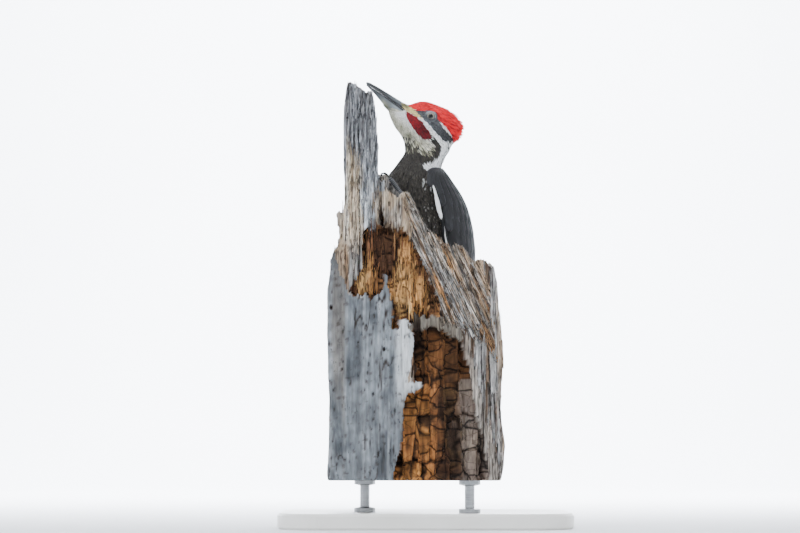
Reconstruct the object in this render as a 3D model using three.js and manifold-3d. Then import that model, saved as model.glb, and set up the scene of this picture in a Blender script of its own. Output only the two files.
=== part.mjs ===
// A male pileated woodpecker at life size, clinging to a cut length of a broken dead trunk on a display stand.
// Millimetres, +Z up, +X to the viewer's right, +Y away from the viewer.
// Origin: the centre of the base's underside.
//
// The bird is written in two frames. In the head frame x runs from the bill's tip towards the nape and z towards the
// crown. In the body frame x points out of the bird's back, y to its right and z up. In both, the left side is -y.
import * as THREE from "three";
import { mergeVertices } from "three/addons/utils/BufferGeometryUtils.js";
import Module from "manifold-3d";

const wasm = await Module();
wasm.setup();

// ---------------------------------------------------------------------------------------------- driving dimensions
const GAP = 0.3; // the thin cut between neighbouring solids
const FLATNESS = 0.12; // slivers left by the cuts that are thinner than this are merged away
const BODY_YAW = THREE.MathUtils.degToRad(35); // the belly faces left and this much towards the viewer
const HEAD_TILT = THREE.MathUtils.degToRad(36.9); // the bill points up this much
const BILL_TIP = new THREE.Vector3(-60, 0, 464.5);

const BASE = { width: 300, depth: 220, height: 16, corner: 46, bevel: 2.5 };
const ROD = { radius: 5, flange: 11, flangeHeight: 4 };
const PERCH_BOTTOM = 49;
const PERCH_BACK_TOP = 355; // where the gripped face reaches the broken top
const PERCH_BACK_OFFSET = -50; // that face's x in the body frame at PERCH_BACK_TOP
const PERCH_LEAN = 0.186; // how far the face comes out for each millimetre down

const EYE = { station: 75.8, rise: 9.5, side: 11.9, radius: 5.2 };
const PRIMARIES = 6;
const PRIMARY_TOP = 236;
const PRIMARY_TIP_STEP = 7.5; // how much higher the second flight feather ends than the longest
const TAIL_HALF_WIDTH = { root: 9, tips: 28.5 };
const TAIL_CURVE = 95; // twice the radius of the tail's bow across
const BLADE = 1.6; // how thick the fans of stiff feathers are
const NOTCH = { primaries: 8, tail: 9 }; // how far up neighbouring tips part
const THIGH_RADII = [12, 8.5, 3.6];
const SHANK_RADII = [2.9, 2.3, 2.9];
const TOE_RADIUS = 2.1;
const TOE_TAPER = [1.1, 1, 0.9, 0.78];
const CLAW_TAPER = [0.8, 0.55, 0.15];
const BACK_TOE_SHARE = 0.8; // how thick the hind toe is beside the others
const FRONT_WALL = { left: -48, right: 76, near: -91, far: -57.5 }; // the torn wall in front of the bird
const SPIKE = { right: -48.4, near: -90, nearTop: -88, farTop: -64 };
const BACK_BLOCK = { near: -54.9, far: 58, top: 356 };

// ------------------------------------------------------------------------------------------------------- materials
const finish = (color, roughness, metalness = 0) => new THREE.MeshStandardMaterial({ color, roughness, metalness });
const MATERIALS = {
  black: finish("#2a2a2c", 0.75),
  slate: finish("#3a3a3f", 0.6),
  white: finish("#e9ebec", 0.8),
  red: finish("#e02a2c", 0.75),
  upperBill: finish("#3d4248", 0.4),
  lowerBill: finish("#9aa29f", 0.45),
  eye: finish("#15130f", 0.1),
  toe: finish("#6d7074", 0.65),
  claw: finish("#1c1c1e", 0.35),
  wood: finish("#9a8f84", 0.95),
  board: finish("#e8e6e1", 0.5),
  steel: finish("#8f9296", 0.3, 1),
};

// --------------------------------------------------------------------------------------------------------- helpers
const { lerp, clamp, smoothstep } = THREE.MathUtils;

// A closed geometry as a manifold solid, with its faces turned out.
function solidOf(geometry) {
  const bare = new THREE.BufferGeometry().setAttribute("position", geometry.getAttribute("position"));
  bare.setIndex(geometry.getIndex());
  const merged = mergeVertices(bare, 1e-3);
  const at = merged.getAttribute("position");
  const corner = (i) => new THREE.Vector3().fromBufferAttribute(at, i);
  const triangles = [];
  let volume = 0;
  const index = merged.index.array;
  for (let i = 0; i < index.length; i += 3) {
    const [a, b, c] = [index[i], index[i + 1], index[i + 2]];
    if (a === b || b === c || c === a) continue;
    triangles.push([a, b, c]);
    volume += corner(a).dot(corner(b).cross(corner(c)));
  }
  const triVerts = new Uint32Array(triangles.flatMap(([a, b, c]) => (volume > 0 ? [a, b, c] : [a, c, b])));
  return new wasm.Manifold(new wasm.Mesh({ numProp: 3, vertProperties: new Float32Array(at.array), triVerts }));
}

// A manifold solid as a geometry. Only its largest body is kept, so a cut leaves no crumbs.
function geometryOf(solid) {
  const whole = solid.decompose().sort((a, b) => b.volume() - a.volume())[0];
  const made = whole.getMesh();
  const geometry = new THREE.BufferGeometry();
  geometry.setAttribute("position", new THREE.BufferAttribute(new Float32Array(made.vertProperties), 3));
  geometry.setIndex(new THREE.BufferAttribute(new Uint32Array(made.triVerts), 1));
  geometry.computeVertexNormals();
  return geometry;
}

const root = new THREE.Group();
function addNode(name, shape, material) {
  const geometry = shape.isBufferGeometry ? shape : geometryOf(shape.simplify(FLATNESS));
  const mesh = new THREE.Mesh(geometry, material);
  mesh.name = name;
  root.add(mesh);
  return mesh;
}

// Rows of [station, value, ...] as a smooth function of the station.
function table(rows) {
  const width = rows[0].length - 1;
  const keys = new Float32Array(rows.map((row) => row[0]));
  const values = new Float32Array(rows.flatMap((row) => row.slice(1)));
  const curve = new THREE.CubicInterpolant(keys, values, width);
  return (station) => Array.from(curve.evaluate(station));
}

const headFrame = new THREE.Matrix4().makeRotationY(HEAD_TILT).setPosition(BILL_TIP);
const bodyFrame = new THREE.Matrix4().makeRotationZ(BODY_YAW);

// An oval skin swept over rows of [station, low, high, half width]. put(station, rise, side) places a point, and
// the ends close as round caps. grow thickens it all round.
function ovalSkin(rows, put, { around = 24, along = 14, cap = 8, grow = 0 } = {}) {
  const section = table(rows);
  const first = rows[0][0] - grow;
  const last = rows.at(-1)[0] + grow;
  const geometry = new THREE.SphereGeometry(1, around, along);
  const at = geometry.getAttribute("position");
  const point = new THREE.Vector3();
  for (let i = 0; i < at.count; i++) {
    point.fromBufferAttribute(at, i);
    const share = Math.acos(clamp(point.y, -1, 1)) / Math.PI;
    const eased = 0.5 * share + 0.25 * (1 - Math.cos(share * Math.PI));
    const station = lerp(first, last, eased);
    const fromEnd = Math.min(eased, 1 - eased) * (last - first);
    const closing = Math.sqrt(1 - Math.max(0, 1 - fromEnd / cap) ** 2);
    const turn = Math.atan2(point.z, point.x);
    const [low, high, half] = section(clamp(station, rows[0][0], rows.at(-1)[0]));
    const rise = (low + high) / 2 + ((high - low) / 2 + grow) * closing * Math.cos(turn);
    const side = (half + grow) * closing * Math.sin(turn);
    at.setXYZ(i, ...put(station, rise, side).toArray());
  }
  return geometry;
}

const inHead = (station, rise, side) => new THREE.Vector3(station, side, rise).applyMatrix4(headFrame);
const inBody = (station, rise, side) => new THREE.Vector3(rise, side, station).applyMatrix4(bodyFrame);
const upright = (station, rise, side) => new THREE.Vector3(rise, side, station);

// A round limb through points, with a radius at each, closed by round ends.
function limb(points, radii, { around = 7, along = 6, grow = 0 } = {}) {
  const path = new THREE.CatmullRomCurve3(points);
  const radius = table(radii.map((r, i) => [i / (radii.length - 1), r]));
  const length = path.getLength();
  const geometry = new THREE.SphereGeometry(1, around, along);
  const at = geometry.getAttribute("position");
  const point = new THREE.Vector3();
  const reference = new THREE.Vector3(0, 1, 0.01).normalize();
  for (let i = 0; i < at.count; i++) {
    point.fromBufferAttribute(at, i);
    const share = Math.acos(clamp(point.y, -1, 1)) / Math.PI;
    const tangent = path.getTangentAt(share);
    const across = new THREE.Vector3().crossVectors(tangent, reference).normalize();
    const up = new THREE.Vector3().crossVectors(across, tangent);
    const here = radius(share)[0] + grow;
    const closing = Math.sqrt(1 - Math.max(0, 1 - (Math.min(share, 1 - share) * length) / (0.8 * here)) ** 2);
    const turn = Math.atan2(point.z, point.x);
    const centre = path.getPointAt(share);
    if (share === 0) centre.addScaledVector(tangent, -grow);
    if (share === 1) centre.addScaledVector(tangent, grow);
    centre.addScaledVector(across, here * closing * Math.cos(turn));
    centre.addScaledVector(up, here * closing * Math.sin(turn));
    at.setXYZ(i, ...centre.toArray());
  }
  return geometry;
}

// A thin curved leaf. surface(s, c) gives its middle, with s from 0 to 1 along and c from -1 to 1 across, and
// thickness(s, c) how thick it is there. surface works in the body frame.
function leaf(surface, thickness, { along = 10, across = 4, grow = 0 } = {}) {
  const geometry = new THREE.BoxGeometry(1, 2, 1, along, across, 1);
  const at = geometry.getAttribute("position");
  const step = 0.01;
  for (let i = 0; i < at.count; i++) {
    const s = at.getX(i) + 0.5;
    const c = at.getY(i);
    const here = surface(s, c);
    const alongWay = surface(Math.min(s + step, 1), c).sub(surface(Math.max(s - step, 0), c));
    const acrossWay = surface(s, Math.min(c + step, 1)).sub(surface(s, Math.max(c - step, -1)));
    const normal = new THREE.Vector3().crossVectors(alongWay, acrossWay).normalize();
    here.addScaledVector(normal, 2 * at.getZ(i) * (thickness(s, c) / 2 + grow));
    if (grow) {
      here.addScaledVector(alongWay.normalize(), s === 0 ? -grow : s === 1 ? grow : 0);
      here.addScaledVector(acrossWay.normalize(), c * grow);
    }
    at.setXYZ(i, ...here.applyMatrix4(bodyFrame).toArray());
  }
  return geometry;
}

// A large box on one side of a plane, for parting a body: it fills the side that the normal points to.
function halfSpace(normal, through) {
  const size = 1200;
  const box = new THREE.BoxGeometry(size, size, size).translate(0, 0, size / 2);
  const turn = new THREE.Quaternion().setFromUnitVectors(new THREE.Vector3(0, 0, 1), normal.clone().normalize());
  return solidOf(box.applyQuaternion(turn).translate(through.x, through.y, through.z));
}

// Parts a solid along a plane, leaving half the gap on each side: [the side that the normal points to, the other].
function part(solid, normal, through) {
  const half = normal.clone().normalize().multiplyScalar(GAP / 2);
  return [
    solid.intersect(halfSpace(normal, through.clone().add(half))),
    solid.intersect(halfSpace(normal.clone().negate(), through.clone().sub(half))),
  ];
}

// A steady wave made of three sines, for the uneven faces of torn wood.
const unevenness = (x, seed) =>
  (Math.sin(x * 0.31 + seed) + 0.6 * Math.sin(x * 0.83 + 2.1 * seed) + 0.4 * Math.sin(x * 1.71 + 3.7 * seed)) / 2;

// ------------------------------------------------------------------------------------------------------------ head
const HEAD_ROWS = [
  [32, -10, -6, 2.5],
  [38, -13.5, -5.5, 4.5],
  [44, -17, -3, 6.5],
  [50, -20.3, 6.3, 8.5],
  [56, -23.5, 12.5, 12],
  [62, -26, 17, 15],
  [70, -29, 20.5, 18],
  [78, -30, 22, 19.5],
  [86, -28, 21, 19.5],
  [94, -22, 17, 18],
  [100, -15, 11, 14.5],
  [106, -8, 3, 8],
];
const CREST_ROWS = [
  [49, 4.5, 7.5, 5],
  [56, 8, 17.4, 8.5],
  [62, 10, 21.6, 11],
  [72, 12, 24.6, 13.4],
  [81, 12, 26.8, 13.6],
  [90, 9, 27.2, 12],
  [99, 3, 26.8, 9.5],
  [105, -1, 26, 7],
  [110, -2, 23.2, 4.5],
  [113.5, 0.5, 19.5, 2.6],
];
const UPPER_BILL_ROWS = [
  [0, -1.9, 0.9, 1.1],
  [6, -1.5, 2.1, 2],
  [19, -1, 3.4, 3.4],
  [32, -0.7, 4.3, 4.8],
  [44, -0.6, 5.5, 6.3],
  [54, -0.6, 7.2, 7.6],
];
const LOWER_BILL_ROWS = [
  [1.4, -3, -2.5, 1],
  [11.7, -5, -1.9, 2.4],
  [20, -6.3, -1.4, 3.4],
  [30, -8.3, -1.1, 4.5],
  [40, -9.3, -1, 5.6],
  [54, -10, -1, 6.6],
];
const NOSTRIL_TUFT_ROWS = [
  [38, 0.4, 4, 5.4],
  [44, 0.2, 5.9, 7],
  [51, 0.4, 8, 8.6],
  [58, 2, 10.4, 9.6],
];

const NECK_ROWS = [
  [352, -32, 14, 24],
  [364, -34.5, 16, 24],
  [373, -35, 18, 23.5],
  [382, -28, 21.5, 22],
  [391, -21.7, 26.2, 21],
  [400, -23, 28.6, 20],
  [410, -20, 28, 18.5],
  [420, -10, 23, 15],
];
const TRUNK_ROWS = [
  [186, 26, 38, 7],
  [205, 17, 42.5, 14.5],
  [222, 9, 45.5, 20.5],
  [240, -1, 47.5, 27],
  [260, -13, 48.5, 32.5],
  [285, -26, 48, 37],
  [310, -37, 45, 39],
  [330, -43, 39.5, 39],
  [346, -45.2, 32.5, 37],
  [360, -44.5, 24, 32.5],
  [372, -39.5, 17, 26],
  [384, -28, 16, 18],
];
const trunkWhole = (grow) => solidOf(ovalSkin(TRUNK_ROWS, inBody, { around: 20, along: 14, cap: 14, grow }));
const headWhole = (grow) => solidOf(ovalSkin(HEAD_ROWS, inHead, { around: 16, along: 15, cap: 9, grow }));
const crestWhole = (grow) => solidOf(ovalSkin(CREST_ROWS, inHead, { around: 14, along: 12, cap: 4.5, grow }));
const upperBill = (grow) => solidOf(ovalSkin(UPPER_BILL_ROWS, inHead, { around: 12, along: 8, cap: 1.6, grow }));
const lowerBill = (grow) => solidOf(ovalSkin(LOWER_BILL_ROWS, inHead, { around: 12, along: 8, cap: 1.6, grow }));
const nostrilTufts = (grow) => solidOf(ovalSkin(NOSTRIL_TUFT_ROWS, inHead, { around: 10, along: 5, cap: 4, grow }));

const flesh = headWhole(0)
  .add(nostrilTufts(0))
  .add(solidOf(ovalSkin(NECK_ROWS, upright, { around: 20, along: 9, cap: 12 })))
  .add(trunkWhole(0));

const headCutNormal = new THREE.Vector3(-0.45, 0, 1);
const headCut = new THREE.Vector3(4, 0, 398);
const neckCutNormal = new THREE.Vector3(-0.3, -0.1, 1);
const neckCut = new THREE.Vector3(-6, 0, 374);

function eyeball(side, grow) {
  const place = inHead(EYE.station, EYE.rise, side * EYE.side);
  return new THREE.SphereGeometry(EYE.radius + grow, 12, 8).translate(place.x, place.y, place.z);
}

// ----------------------------------------------------------------------------------------------------------- wings
// Rows of [z, leading edge x and half span, trailing edge x and half span, bulge] of the folded wing's outer face.
const WING_ROWS = [
  [143, 36, 12, 38.5, 8, 1],
  [150, 34, 15.5, 40, 6, 2.5],
  [168, 31, 20.5, 43.5, 3.6, 5],
  [190, 27, 25, 47, 2.8, 7],
  [215, 21.5, 29.5, 50.5, 2.8, 9.5],
  [240, 15, 33.5, 53, 3.6, 11.5],
  [265, 8, 37.4, 54, 5, 13],
  [290, 1, 40, 52.8, 7, 14.5],
  [310, -5, 41.3, 48.8, 9, 14.8],
  [330, -11, 41.8, 41.8, 11, 14],
  [345, -15.5, 41, 33, 12.5, 12],
  [357, -18, 38, 22.5, 15.5, 9],
  [366, -13, 33, 13.5, 19, 5.5],
  [372, -4, 27, 5, 23, 2],
];
const WING_TOP = WING_ROWS.at(-1)[0];
const WING_BOTTOM = WING_ROWS[0][0];
const WING_PANEL_BOTTOM = WING_BOTTOM + 34; // the inner flight feathers and coverts end here
const wingOutline = table(WING_ROWS);
const wingDepth = (z) => lerp(2.4, 4.2, clamp((z - WING_PANEL_BOTTOM) / (WING_TOP - WING_PANEL_BOTTOM), 0, 1));

// The outer face of the folded wing at height z, c from -1 on the leading edge to 1 on the trailing edge.
function wingFace(side, z, c, sink) {
  const [leadX, leadSpan, trailX, trailSpan, bulge] = wingOutline(z);
  const share = (c + 1) / 2;
  const out = new THREE.Vector2(leadSpan - trailSpan, trailX - leadX).normalize();
  const lift = bulge * (1 - c * c) - sink;
  const x = lerp(leadX, trailX, share) + lift * out.x;
  const span = lerp(leadSpan, trailSpan, share) + lift * out.y;
  return new THREE.Vector3(x, side * span, z);
}

function wing(side, grow) {
  const surface = (s, c) => {
    const z = lerp(WING_TOP, WING_PANEL_BOTTOM, s);
    const narrowing = Math.sqrt(Math.max(1 - s ** 9, 0.05));
    return wingFace(side, z, c * narrowing + 0.25 * (1 - narrowing), wingDepth(z) / 2);
  };
  const thickness = (s, c) => wingDepth(surface(s, c).z) * (1 - 0.5 * c ** 4) * (s === 0 ? 0.5 : 1);
  return solidOf(leaf(surface, thickness, { along: 11, across: 5, grow }));
}

// A row of overlapping feathers as one leaf, whose lower edge steps from tip to tip. tips are their heights in
// order, notch how far up they part. lay(z, c) gives the middle of the leaf.
function fan(tips, topZ, notch, lay, grow) {
  const surface = (s, c) => {
    const place = ((c + 1) / 2) * tips.length;
    const own = clamp(Math.floor(place), 0, tips.length - 1);
    const toEdge = Math.abs(place - own - 0.5) * 2;
    const neighbour = clamp(place - own < 0.5 ? own - 1 : own + 1, 0, tips.length - 1);
    const bottom = lerp(tips[own], Math.max(tips[own], tips[neighbour]) + notch, toEdge);
    return lay(lerp(topZ, bottom, s), c);
  };
  return solidOf(leaf(surface, () => BLADE, { along: 4, across: 2 * tips.length, grow }));
}

// The long outer flight feathers come out from under the wing's panel.
function primaries(side, grow) {
  const tips = Array.from({ length: PRIMARIES }, (_, i) => WING_BOTTOM + PRIMARY_TIP_STEP * i ** 1.1);
  const lay = (z, c) => {
    const narrowing = 1 - 0.35 * clamp((220 - z) / 80, 0, 1);
    return wingFace(side, z, (0.62 * c - 0.16) * narrowing, wingDepth(z) + GAP + BLADE);
  };
  return fan(tips, PRIMARY_TOP, NOTCH.primaries, lay, grow);
}

// ------------------------------------------------------------------------------------------------------------ tail
// The middle of the tail in the body frame: x against z. It bends in until its tips prop against the wood.
const TAIL_ROWS = [
  [58, 7.6],
  [75, 12],
  [95, 17.4],
  [120, 23.6],
  [150, 29],
  [180, 32.6],
  [212, 35],
];
const TAIL_TIP_RISE = [0, 5, 14, 28, 46]; // how much higher each pair ends than the middle of the tail
const tailLine = table(TAIL_ROWS);

function tail(grow) {
  const rises = [...TAIL_TIP_RISE].reverse().concat(TAIL_TIP_RISE);
  const [bottom, top] = [TAIL_ROWS[0][0], TAIL_ROWS.at(-1)[0]];
  const lay = (z, c) => {
    const span = c * lerp(TAIL_HALF_WIDTH.tips, TAIL_HALF_WIDTH.root, smoothstep(z, bottom, top + 20));
    return new THREE.Vector3(tailLine(z)[0] - span ** 2 / TAIL_CURVE, span, z);
  };
  return fan(rises.map((rise) => bottom + rise), top, NOTCH.tail, lay, grow);
}

// ------------------------------------------------------------------------------------------------------------ legs
// The gripped face of the wood: its x in the body frame at height z.
const faceX = (z) => PERCH_BACK_OFFSET + (PERCH_BACK_TOP - z) * PERCH_LEAN;

// A place over the gripped face: y and z as in the body frame, lift how far out of the wood.
const onFace = (y, z, lift) => new THREE.Vector3(faceX(z) + lift, y, z).applyMatrix4(bodyFrame);
const inTrunk = (x, y, z) => new THREE.Vector3(x, y, z).applyMatrix4(bodyFrame);
const free = (x, y, z) => new THREE.Vector3(x, y, z);

// The left foot hooks over the broken top, the right one grips the face. Each toe's line runs from its knuckle by
// its middle to its end, and then by the claw's crown to the claw's point.
const LEGS = {
  left: {
    hip: inTrunk(2, -20, 262),
    heel: free(-1, -42, 303),
    ball: free(-20, -49, 333),
    toes: {
      inner: [
        free(-24.6, -51, 340), free(-31, -53, 349.6), free(-37, -54.5, 358.6),
        free(-43, -55.6, 362.2), free(-48.6, -56.6, 357),
      ],
      outer: [
        free(-26.8, -47, 339.2), free(-34, -47.4, 349), free(-40, -48, 357),
        free(-46.4, -48.8, 360.6), free(-51.4, -49.4, 355.6),
      ],
      side: [
        free(-15.5, -50.8, 326), free(-11.4, -52.2, 318), free(-8.6, -53, 311),
        free(-6.8, -53.4, 305.4), free(-6.4, -55.6, 301),
      ],
      back: [
        onFace(-27.5, 326.5, 2.3), onFace(-24.5, 320, 1.9), onFace(-23, 316, 1.7),
        onFace(-21.6, 312.6, 2.4), onFace(-21, 310, -0.4),
      ],
    },
  },
  right: {
    hip: inTrunk(8, 20, 250),
    heel: inTrunk(-18, 33, 285),
    ball: onFace(31, 316, 4),
    toes: {
      inner: [
        onFace(28.5, 324, 2.7), onFace(25, 333, 2), onFace(22.8, 341, 1.7),
        onFace(21.8, 347.4, 2.8), onFace(21.2, 351.4, -1),
      ],
      outer: [
        onFace(33.5, 324.5, 2.7), onFace(36, 334.5, 2), onFace(37.6, 342.5, 1.7),
        onFace(38.6, 348.8, 2.8), onFace(39.4, 352.8, -1),
      ],
      side: [
        onFace(38, 318.5, 2.7), onFace(45.5, 322, 2), onFace(51, 325.6, 1.7),
        onFace(55.6, 329.4, 2.8), onFace(57.6, 331.8, -1),
      ],
      back: [
        onFace(26, 311, 2.5), onFace(21, 306.4, 1.9), onFace(18, 303.6, 1.7),
        onFace(15.6, 300.6, 2.4), onFace(14.4, 298.6, -0.4),
      ],
    },
  },
};

function legSolids(leg, bodyGrown) {
  const { hip, heel, ball } = leg;
  const between = (a, b, share) => a.clone().lerp(b, share);
  const thighPath = [hip, between(hip, heel, 0.5), heel];
  const shankPath = [heel, between(heel, ball, 0.5), ball];
  const thigh = (grow) => solidOf(limb(thighPath, THIGH_RADII, { grow, around: 12, along: 8 }));
  const shank = (grow) => solidOf(limb(shankPath, SHANK_RADII, { grow }));
  const made = { thigh: thigh(0).subtract(bodyGrown), shank: shank(0).subtract(thigh(GAP)) };
  let taken = thigh(GAP).add(shank(GAP));
  for (const [name, [knuckle, middle, end, crown, point]] of Object.entries(leg.toes)) {
    const slim = TOE_RADIUS * (name === "back" ? BACK_TOE_SHARE : 1);
    const toeRadii = TOE_TAPER.map((share) => share * slim);
    const clawRadii = CLAW_TAPER.map((share) => share * slim);
    const toe = (grow) => solidOf(limb([between(ball, knuckle, 0.25), knuckle, middle, end], toeRadii, { grow }));
    const claw = (grow) => solidOf(limb([end, crown, point], clawRadii, { grow, around: 6, along: 5 }));
    made["toe_" + name] = toe(0).subtract(taken);
    made["claw_" + name] = claw(0).subtract(toe(GAP)).subtract(taken);
    taken = taken.add(toe(GAP)).add(claw(GAP));
  }
  return { made, taken };
}

// ----------------------------------------------------------------------------------------------------------- perch
// The broken top of the front wall, as [x, z] along the wall.
const FRONT_TOP = [
  [-49, 353.5],
  [-44.6, 353],
  [-42.4, 347],
  [-38, 342.5],
  [-33, 337],
  [-28, 333.6],
  [-24.5, 334.5],
  [-21.5, 340.5],
  [-18, 340],
  [-14, 331.6],
  [-10, 325.5],
  [-6, 315.5],
  [2, 302],
  [11, 294],
  [19, 287],
  [24, 283],
  [30, 287],
  [36, 284],
  [42, 277],
  [47, 268],
  [56, 272],
  [62, 268],
  [69, 255],
  [73, 230],
  [78, 205],
];
const SPIKE_TOP = [
  [-82, 451],
  [-78, 455],
  [-73, 456],
  [-69, 448],
  [-60, 445],
  [-54, 444],
  [-50, 436],
  [-48, 428],
];
const frontTop = table(FRONT_TOP);
const spikeTop = table(SPIKE_TOP);

// A block of standing wood. plan(p, q, z) gives the place at height z of the share p across and q deep, and
// top(x, y) where the block is broken off.
function woodBlock(plan, top, [across, deep, high]) {
  const geometry = new THREE.BoxGeometry(1, 1, 1, across, deep, high);
  const at = geometry.getAttribute("position");
  for (let i = 0; i < at.count; i++) {
    const [p, q, h] = [at.getX(i) + 0.5, at.getY(i) + 0.5, at.getZ(i) + 0.5];
    const upper = plan(p, q, PERCH_BACK_TOP);
    const z = lerp(PERCH_BOTTOM, top(upper.x, upper.y), h);
    const place = plan(p, q, z);
    at.setXYZ(i, place.x, place.y, z);
  }
  return solidOf(geometry);
}

// The trunk's outer left side: it steps in where a slab has fallen away.
const leftSide = (z) => lerp(-98, -82, smoothstep(z, 270, 312)) + 1.8 * unevenness(z, 0.4);

const frontWall = woodBlock(
  (p, q, z) => {
    const x = lerp(FRONT_WALL.left, FRONT_WALL.right + 3 * unevenness(z, 1.3), p);
    const near = FRONT_WALL.near + 2.6 * unevenness(1.4 * x + 0.05 * z, 0.7);
    const far = FRONT_WALL.far + 1.5 * unevenness(x + 0.03 * z, 2.9);
    return new THREE.Vector2(x, lerp(near, far, q));
  },
  (x, y) => frontTop(clamp(x, -49, 78))[0] + 1.2 * unevenness(y + 2.3 * x, 4.1),
  [24, 1, 5],
);
const spike = woodBlock(
  (p, q, z) => {
    const rising = clamp((z - 330) / 120, 0, 1);
    const x = lerp(leftSide(z), SPIKE.right - rising, p);
    const near = lerp(SPIKE.near, SPIKE.nearTop, rising) + 2.2 * unevenness(1.6 * x + 0.04 * z, 1.9);
    const far = lerp(FRONT_WALL.far, SPIKE.farTop, rising) + 1.4 * unevenness(x + 0.05 * z, 3.1);
    return new THREE.Vector2(x, lerp(near, far, q));
  },
  (x, y) => spikeTop(clamp(x, -82, -48))[0] + 2 * unevenness(1.9 * y, 2.2),
  [5, 2, 11],
);

// The wood behind both, whose slanting face the bird grips. In plan it is a wedge between the walls and that face,
// and beside the left foot its top slopes down under the toes.
const backFace = (y, z) => (faceX(z) - y * Math.sin(BODY_YAW)) / Math.cos(BODY_YAW);
const backBlock = woodBlock(
  (p, q, z) => {
    const y = lerp(BACK_BLOCK.near, BACK_BLOCK.far, q);
    const left = leftSide(z) + 1.5 * unevenness(y, 0.9);
    const right = Math.max(backFace(y, z) - 0.5 * Math.abs(unevenness(1.3 * y + 0.04 * z, 2.4)), left + 8);
    return new THREE.Vector2(lerp(left, right, p), y);
  },
  (x, y) => {
    const underToes = Math.min(355, 334.5 - 1.55 * (x + 24));
    const broken = 1.5 * unevenness(1.2 * x + 0.9 * y, 1.1) - 0.1 * (y - BACK_BLOCK.near);
    return lerp(underToes, BACK_BLOCK.top, smoothstep(y, -42, -30)) + broken;
  },
  [4, 7, 6],
);

// ------------------------------------------------------------------------------------------------------ assembling
const crest = crestWhole(0);
const [headPart, belowHead] = part(flesh, headCutNormal, headCut);
const [neckPart, trunkPart] = part(belowHead, neckCutNormal, neckCut);
const eyes = solidOf(eyeball(-1, GAP)).add(solidOf(eyeball(1, GAP)));
const wingsGrown = wing(-1, GAP).add(wing(1, GAP)).add(primaries(-1, GAP)).add(primaries(1, GAP));

const faceGrown = headWhole(GAP).add(nostrilTufts(GAP));
addNode("bill_upper", upperBill(0).subtract(faceGrown), MATERIALS.upperBill);
addNode("bill_lower", lowerBill(0).subtract(upperBill(GAP)).subtract(faceGrown), MATERIALS.lowerBill);
addNode("crest", crest.subtract(eyes), MATERIALS.red);
addNode("head", headPart.subtract(crestWhole(GAP)).subtract(eyes), MATERIALS.white);
addNode("neck", neckPart.subtract(crestWhole(GAP)).subtract(wingsGrown), MATERIALS.white);
addNode("trunk", trunkPart.subtract(wingsGrown).subtract(tail(GAP)), MATERIALS.black);
for (const [name, side] of Object.entries({ left: -1, right: 1 })) {
  addNode("eye_" + name, eyeball(side, 0), MATERIALS.eye);
  addNode("wing_" + name, wing(side, 0), MATERIALS.slate);
  addNode("primaries_" + name, primaries(side, 0), MATERIALS.slate);
}
addNode("tail", tail(0), MATERIALS.slate);

const bodyGrown = trunkWhole(GAP).add(wingsGrown);
let gripping = tail(GAP);
for (const [name, leg] of Object.entries(LEGS)) {
  const { made, taken } = legSolids(leg, bodyGrown);
  addNode("thigh_" + name, made.thigh, MATERIALS.black);
  addNode("shank_" + name, made.shank, MATERIALS.toe);
  for (const toe of Object.keys(leg.toes)) {
    addNode("toe_" + name + "_" + toe, made["toe_" + toe], MATERIALS.toe);
    addNode("claw_" + name + "_" + toe, made["claw_" + toe], MATERIALS.claw);
  }
  gripping = gripping.add(taken);
}

addNode("perch_front", frontWall.subtract(gripping), MATERIALS.wood);
addNode("perch_spike", spike.subtract(gripping), MATERIALS.wood);
addNode("perch_back", backBlock.subtract(gripping), MATERIALS.wood);

// ----------------------------------------------------------------------------------------------------------- stand
const plate = new THREE.Shape();
const [halfWidth, halfDepth, corner] = [BASE.width / 2 - BASE.bevel, BASE.depth / 2 - BASE.bevel, BASE.corner];
plate.moveTo(-halfWidth + corner, -halfDepth);
for (const [x, y, from] of [[1, -1, -90], [1, 1, 0], [-1, 1, 90], [-1, -1, 180]]) {
  const start = THREE.MathUtils.degToRad(from);
  plate.absarc(x * (halfWidth - corner), y * (halfDepth - corner), corner, start, start + Math.PI / 2, false);
}
const plateGeometry = new THREE.ExtrudeGeometry(plate, {
  depth: BASE.height - 2 * BASE.bevel,
  bevelThickness: BASE.bevel,
  bevelSize: BASE.bevel,
  bevelSegments: 1,
  curveSegments: 5,
});
addNode("stand_base", solidOf(plateGeometry.translate(0, 0, BASE.bevel)), MATERIALS.board);

// Each rod is turned with a flange at its foot and another under the wood.
const rodHeight = PERCH_BOTTOM - BASE.height - 2 * GAP;
const rodProfile = [
  [0, 0],
  [ROD.flange, 0],
  [ROD.flange, ROD.flangeHeight],
  [ROD.radius, ROD.flangeHeight + 1.5],
  [ROD.radius, rodHeight - ROD.flangeHeight - 1.5],
  [ROD.flange, rodHeight - ROD.flangeHeight],
  [ROD.flange, rodHeight],
  [0, rodHeight],
].map(([radius, height]) => new THREE.Vector2(radius, height));
for (const [name, x, y] of [["left", -62, -30], ["right", 44, -74]]) {
  const turned = new THREE.LatheGeometry(rodProfile, 14).rotateX(Math.PI / 2);
  const rod = addNode("stand_rod_" + name, geometryOf(solidOf(turned)), MATERIALS.steel);
  rod.position.set(x, y, BASE.height + GAP);
}

export default root;
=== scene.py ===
# A male pileated woodpecker at life size, clinging to a cut length of a broken dead trunk on a display stand.
#
# Lengths in this script are millimetres and turn to metres where a mesh is made. Two frames come from the solids:
# in the head frame a runs from the bill's tip back and b towards the crown, and in the body frame x points out of
# the bird's back and y to its right. Side is -1 for the bird's left and +1 for its right.
import math

import bmesh
import bpy
import numpy as np
from mathutils import Matrix, Vector
from mathutils.bvhtree import BVHTree
from mathutils.kdtree import KDTree


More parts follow.
